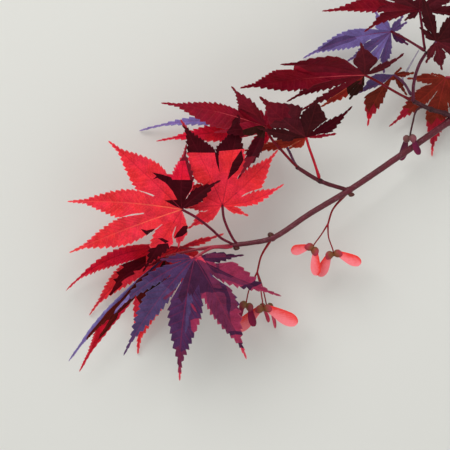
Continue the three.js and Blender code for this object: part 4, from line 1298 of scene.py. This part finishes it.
def nutlet(matrix, size, material):
    obj = ball(28, 18)
    places = []
    sizes = [axis * size * MM for axis in NUTLET]
    for vertex in obj.data.vertices:
        x, y, z = vertex.co / MM
        # Fine ridges run along the nutlet, and it narrows towards its wing
        ridge = 1 + RIDGE_HEIGHT * math.cos(NUTLET_RIDGES * math.atan2(z, y)) * (1 - x * x)
        taper = 1 - NUTLET_TAPER[0] * x - NUTLET_TAPER[1] * max(0, x) ** 2
        vertex.co = Vector((x * sizes[0], y * sizes[1] * ridge * taper, z * sizes[2] * ridge * taper))
        places.append((0.45 + 0.4 * x + 0.25 * y, 0.0, 0.0))
    settle(obj, places, matrix, material)
    welded(obj)
    bpy.ops.object.shade_smooth()
    return obj


def wing(matrix, reach, width, material):
    """A paddle with a thick straight edge on +Y and fine veins that fan out from it."""
    long, wide = WING_GRID
    grid = {"x_subdivisions": long, "y_subdivisions": wide, "size": 2, "location": (0, 0, 0)}
    obj = added(bpy.ops.mesh.primitive_grid_add, **grid)
    places = []
    for vertex in obj.data.vertices:
        a, b = (vertex.co.x + 1) / 2, (vertex.co.y + 1) / 2
        lean = math.sin(a * math.pi / 2)  # stations crowd towards the round end
        past = max(0.0, (lean - ROUND_FROM) / ROUND_SHARE)
        end = max(0.0, 1 - past**ROUND_POWER) ** (1 / ROUND_POWER)
        high = width * (THICK_EDGE[0] + THICK_EDGE[1] * math.sin(lean * math.pi))
        swell = math.sin(min(1, lean / THIN_EDGE_FULL) * math.pi / 2) ** THIN_EDGE_POWER
        low = -width * (THIN_EDGE[0] + THIN_EDGE[1] * swell)
        # Both edges run into the middle of the round end
        y = -WING_TIP * width + (low + (high - low) * b + WING_TIP * width) * end
        vein = WING_VEIN * math.sin((b * WING_VEINS[0] - a * WING_VEINS[1]) * math.pi) * (1 - b)
        cup = WING_CUP[0] * math.sin(lean * math.pi) + WING_CUP[1] * (b - 0.6) ** 2 * lean
        vertex.co = Vector((reach * lean, y, vein + cup)) * MM
        # The tint is deepest at the thick edge and at the foot
        deep = b**1.6 + 0.3 * max(0, 0.4 - lean)
        places.append((deep, (b * WING_LINES[0] - lean * WING_LINES[1]) * math.pi, 0.0))
    settle(obj, places, matrix, material)
    thickened(obj, WING_THICKNESS)
    return obj


for name, (size, wing_width, *halves) in FRUITS.items():
    nutlet_paint, wing_paint = (seed_finishes[n] for n in DARK_FRUIT.get(name, ("nutlet", "wing")))
    nuts, wings = [], []
    for half, other in (halves, halves[::-1]):
        matrix = half_fruit_frame(half, other)
        reach = (seen(*half[1]) - seen(*half[0])).length
        nuts.append(nutlet(matrix, size * NUTLET_SHARE, nutlet_paint))
        wings.append(wing(matrix, reach, wing_width, wing_paint))
    ends = [seen(*half[0]) for half in halves]
    neck = [ends[0], ends[0].lerp(ends[1], 0.5), ends[1]]
    nuts.append(tube("neck", neck, NECK_RADII, nutlet_paint, ring=3))
    take_in(joined(name + "_nutlets", nuts), name)
    take_in(joined(name + "_wings", wings), name)

# Floor, light and camera
floor = added(bpy.ops.mesh.primitive_plane_add, size=FLOOR_SIZE, location=(0, 0, -FLOOR_DROP))
floor.name = "floor"
pale = bpy.data.materials.new("pale_floor")
pale.use_nodes = True
pale.node_tree.nodes["Principled BSDF"].inputs["Base Color"].default_value = colour("dcdcd6")
pale.node_tree.nodes["Principled BSDF"].inputs["Roughness"].default_value = 0.9
floor.data.materials.append(pale)

scene = bpy.context.scene
world = bpy.data.worlds.new("studio")
scene.world = world
world.use_nodes = True
world.node_tree.nodes["Background"].inputs["Color"].default_value = (1, 1, 1, 1)
world.node_tree.nodes["Background"].inputs["Strength"].default_value = 0.55

# Two soft lights, aimed at the middle: place and size in metres, power in watts
for name, at, size, power in (("key", (-0.45, 0.75, 0.9), 0.9, 9), ("fill", (0.8, -0.5, 0.8), 1.2, 3)):
    data = bpy.data.lights.new(name, "AREA")
    data.size = size
    data.energy = power
    lamp = bpy.data.objects.new(name, data)
    lamp.location = at
    lamp.rotation_mode = "QUATERNION"
    lamp.rotation_quaternion = (-Vector(at)).to_track_quat("-Z", "Y")
    scene.collection.objects.link(lamp)

# From the eye, the picture's 450 pixels take in that many times 0.45 mm of the surface
camera = bpy.data.objects.new("camera", bpy.data.cameras.new("camera"))
camera.data.sensor_width = SENSOR
camera.data.lens = SENSOR * EYE_HEIGHT / (PICTURE * PIXEL)
camera.location = eye
camera.data.clip_end = 10
scene.collection.objects.link(camera)
scene.camera = camera
scene.view_settings.view_transform = "Standard"
scene.view_settings.look = "None"
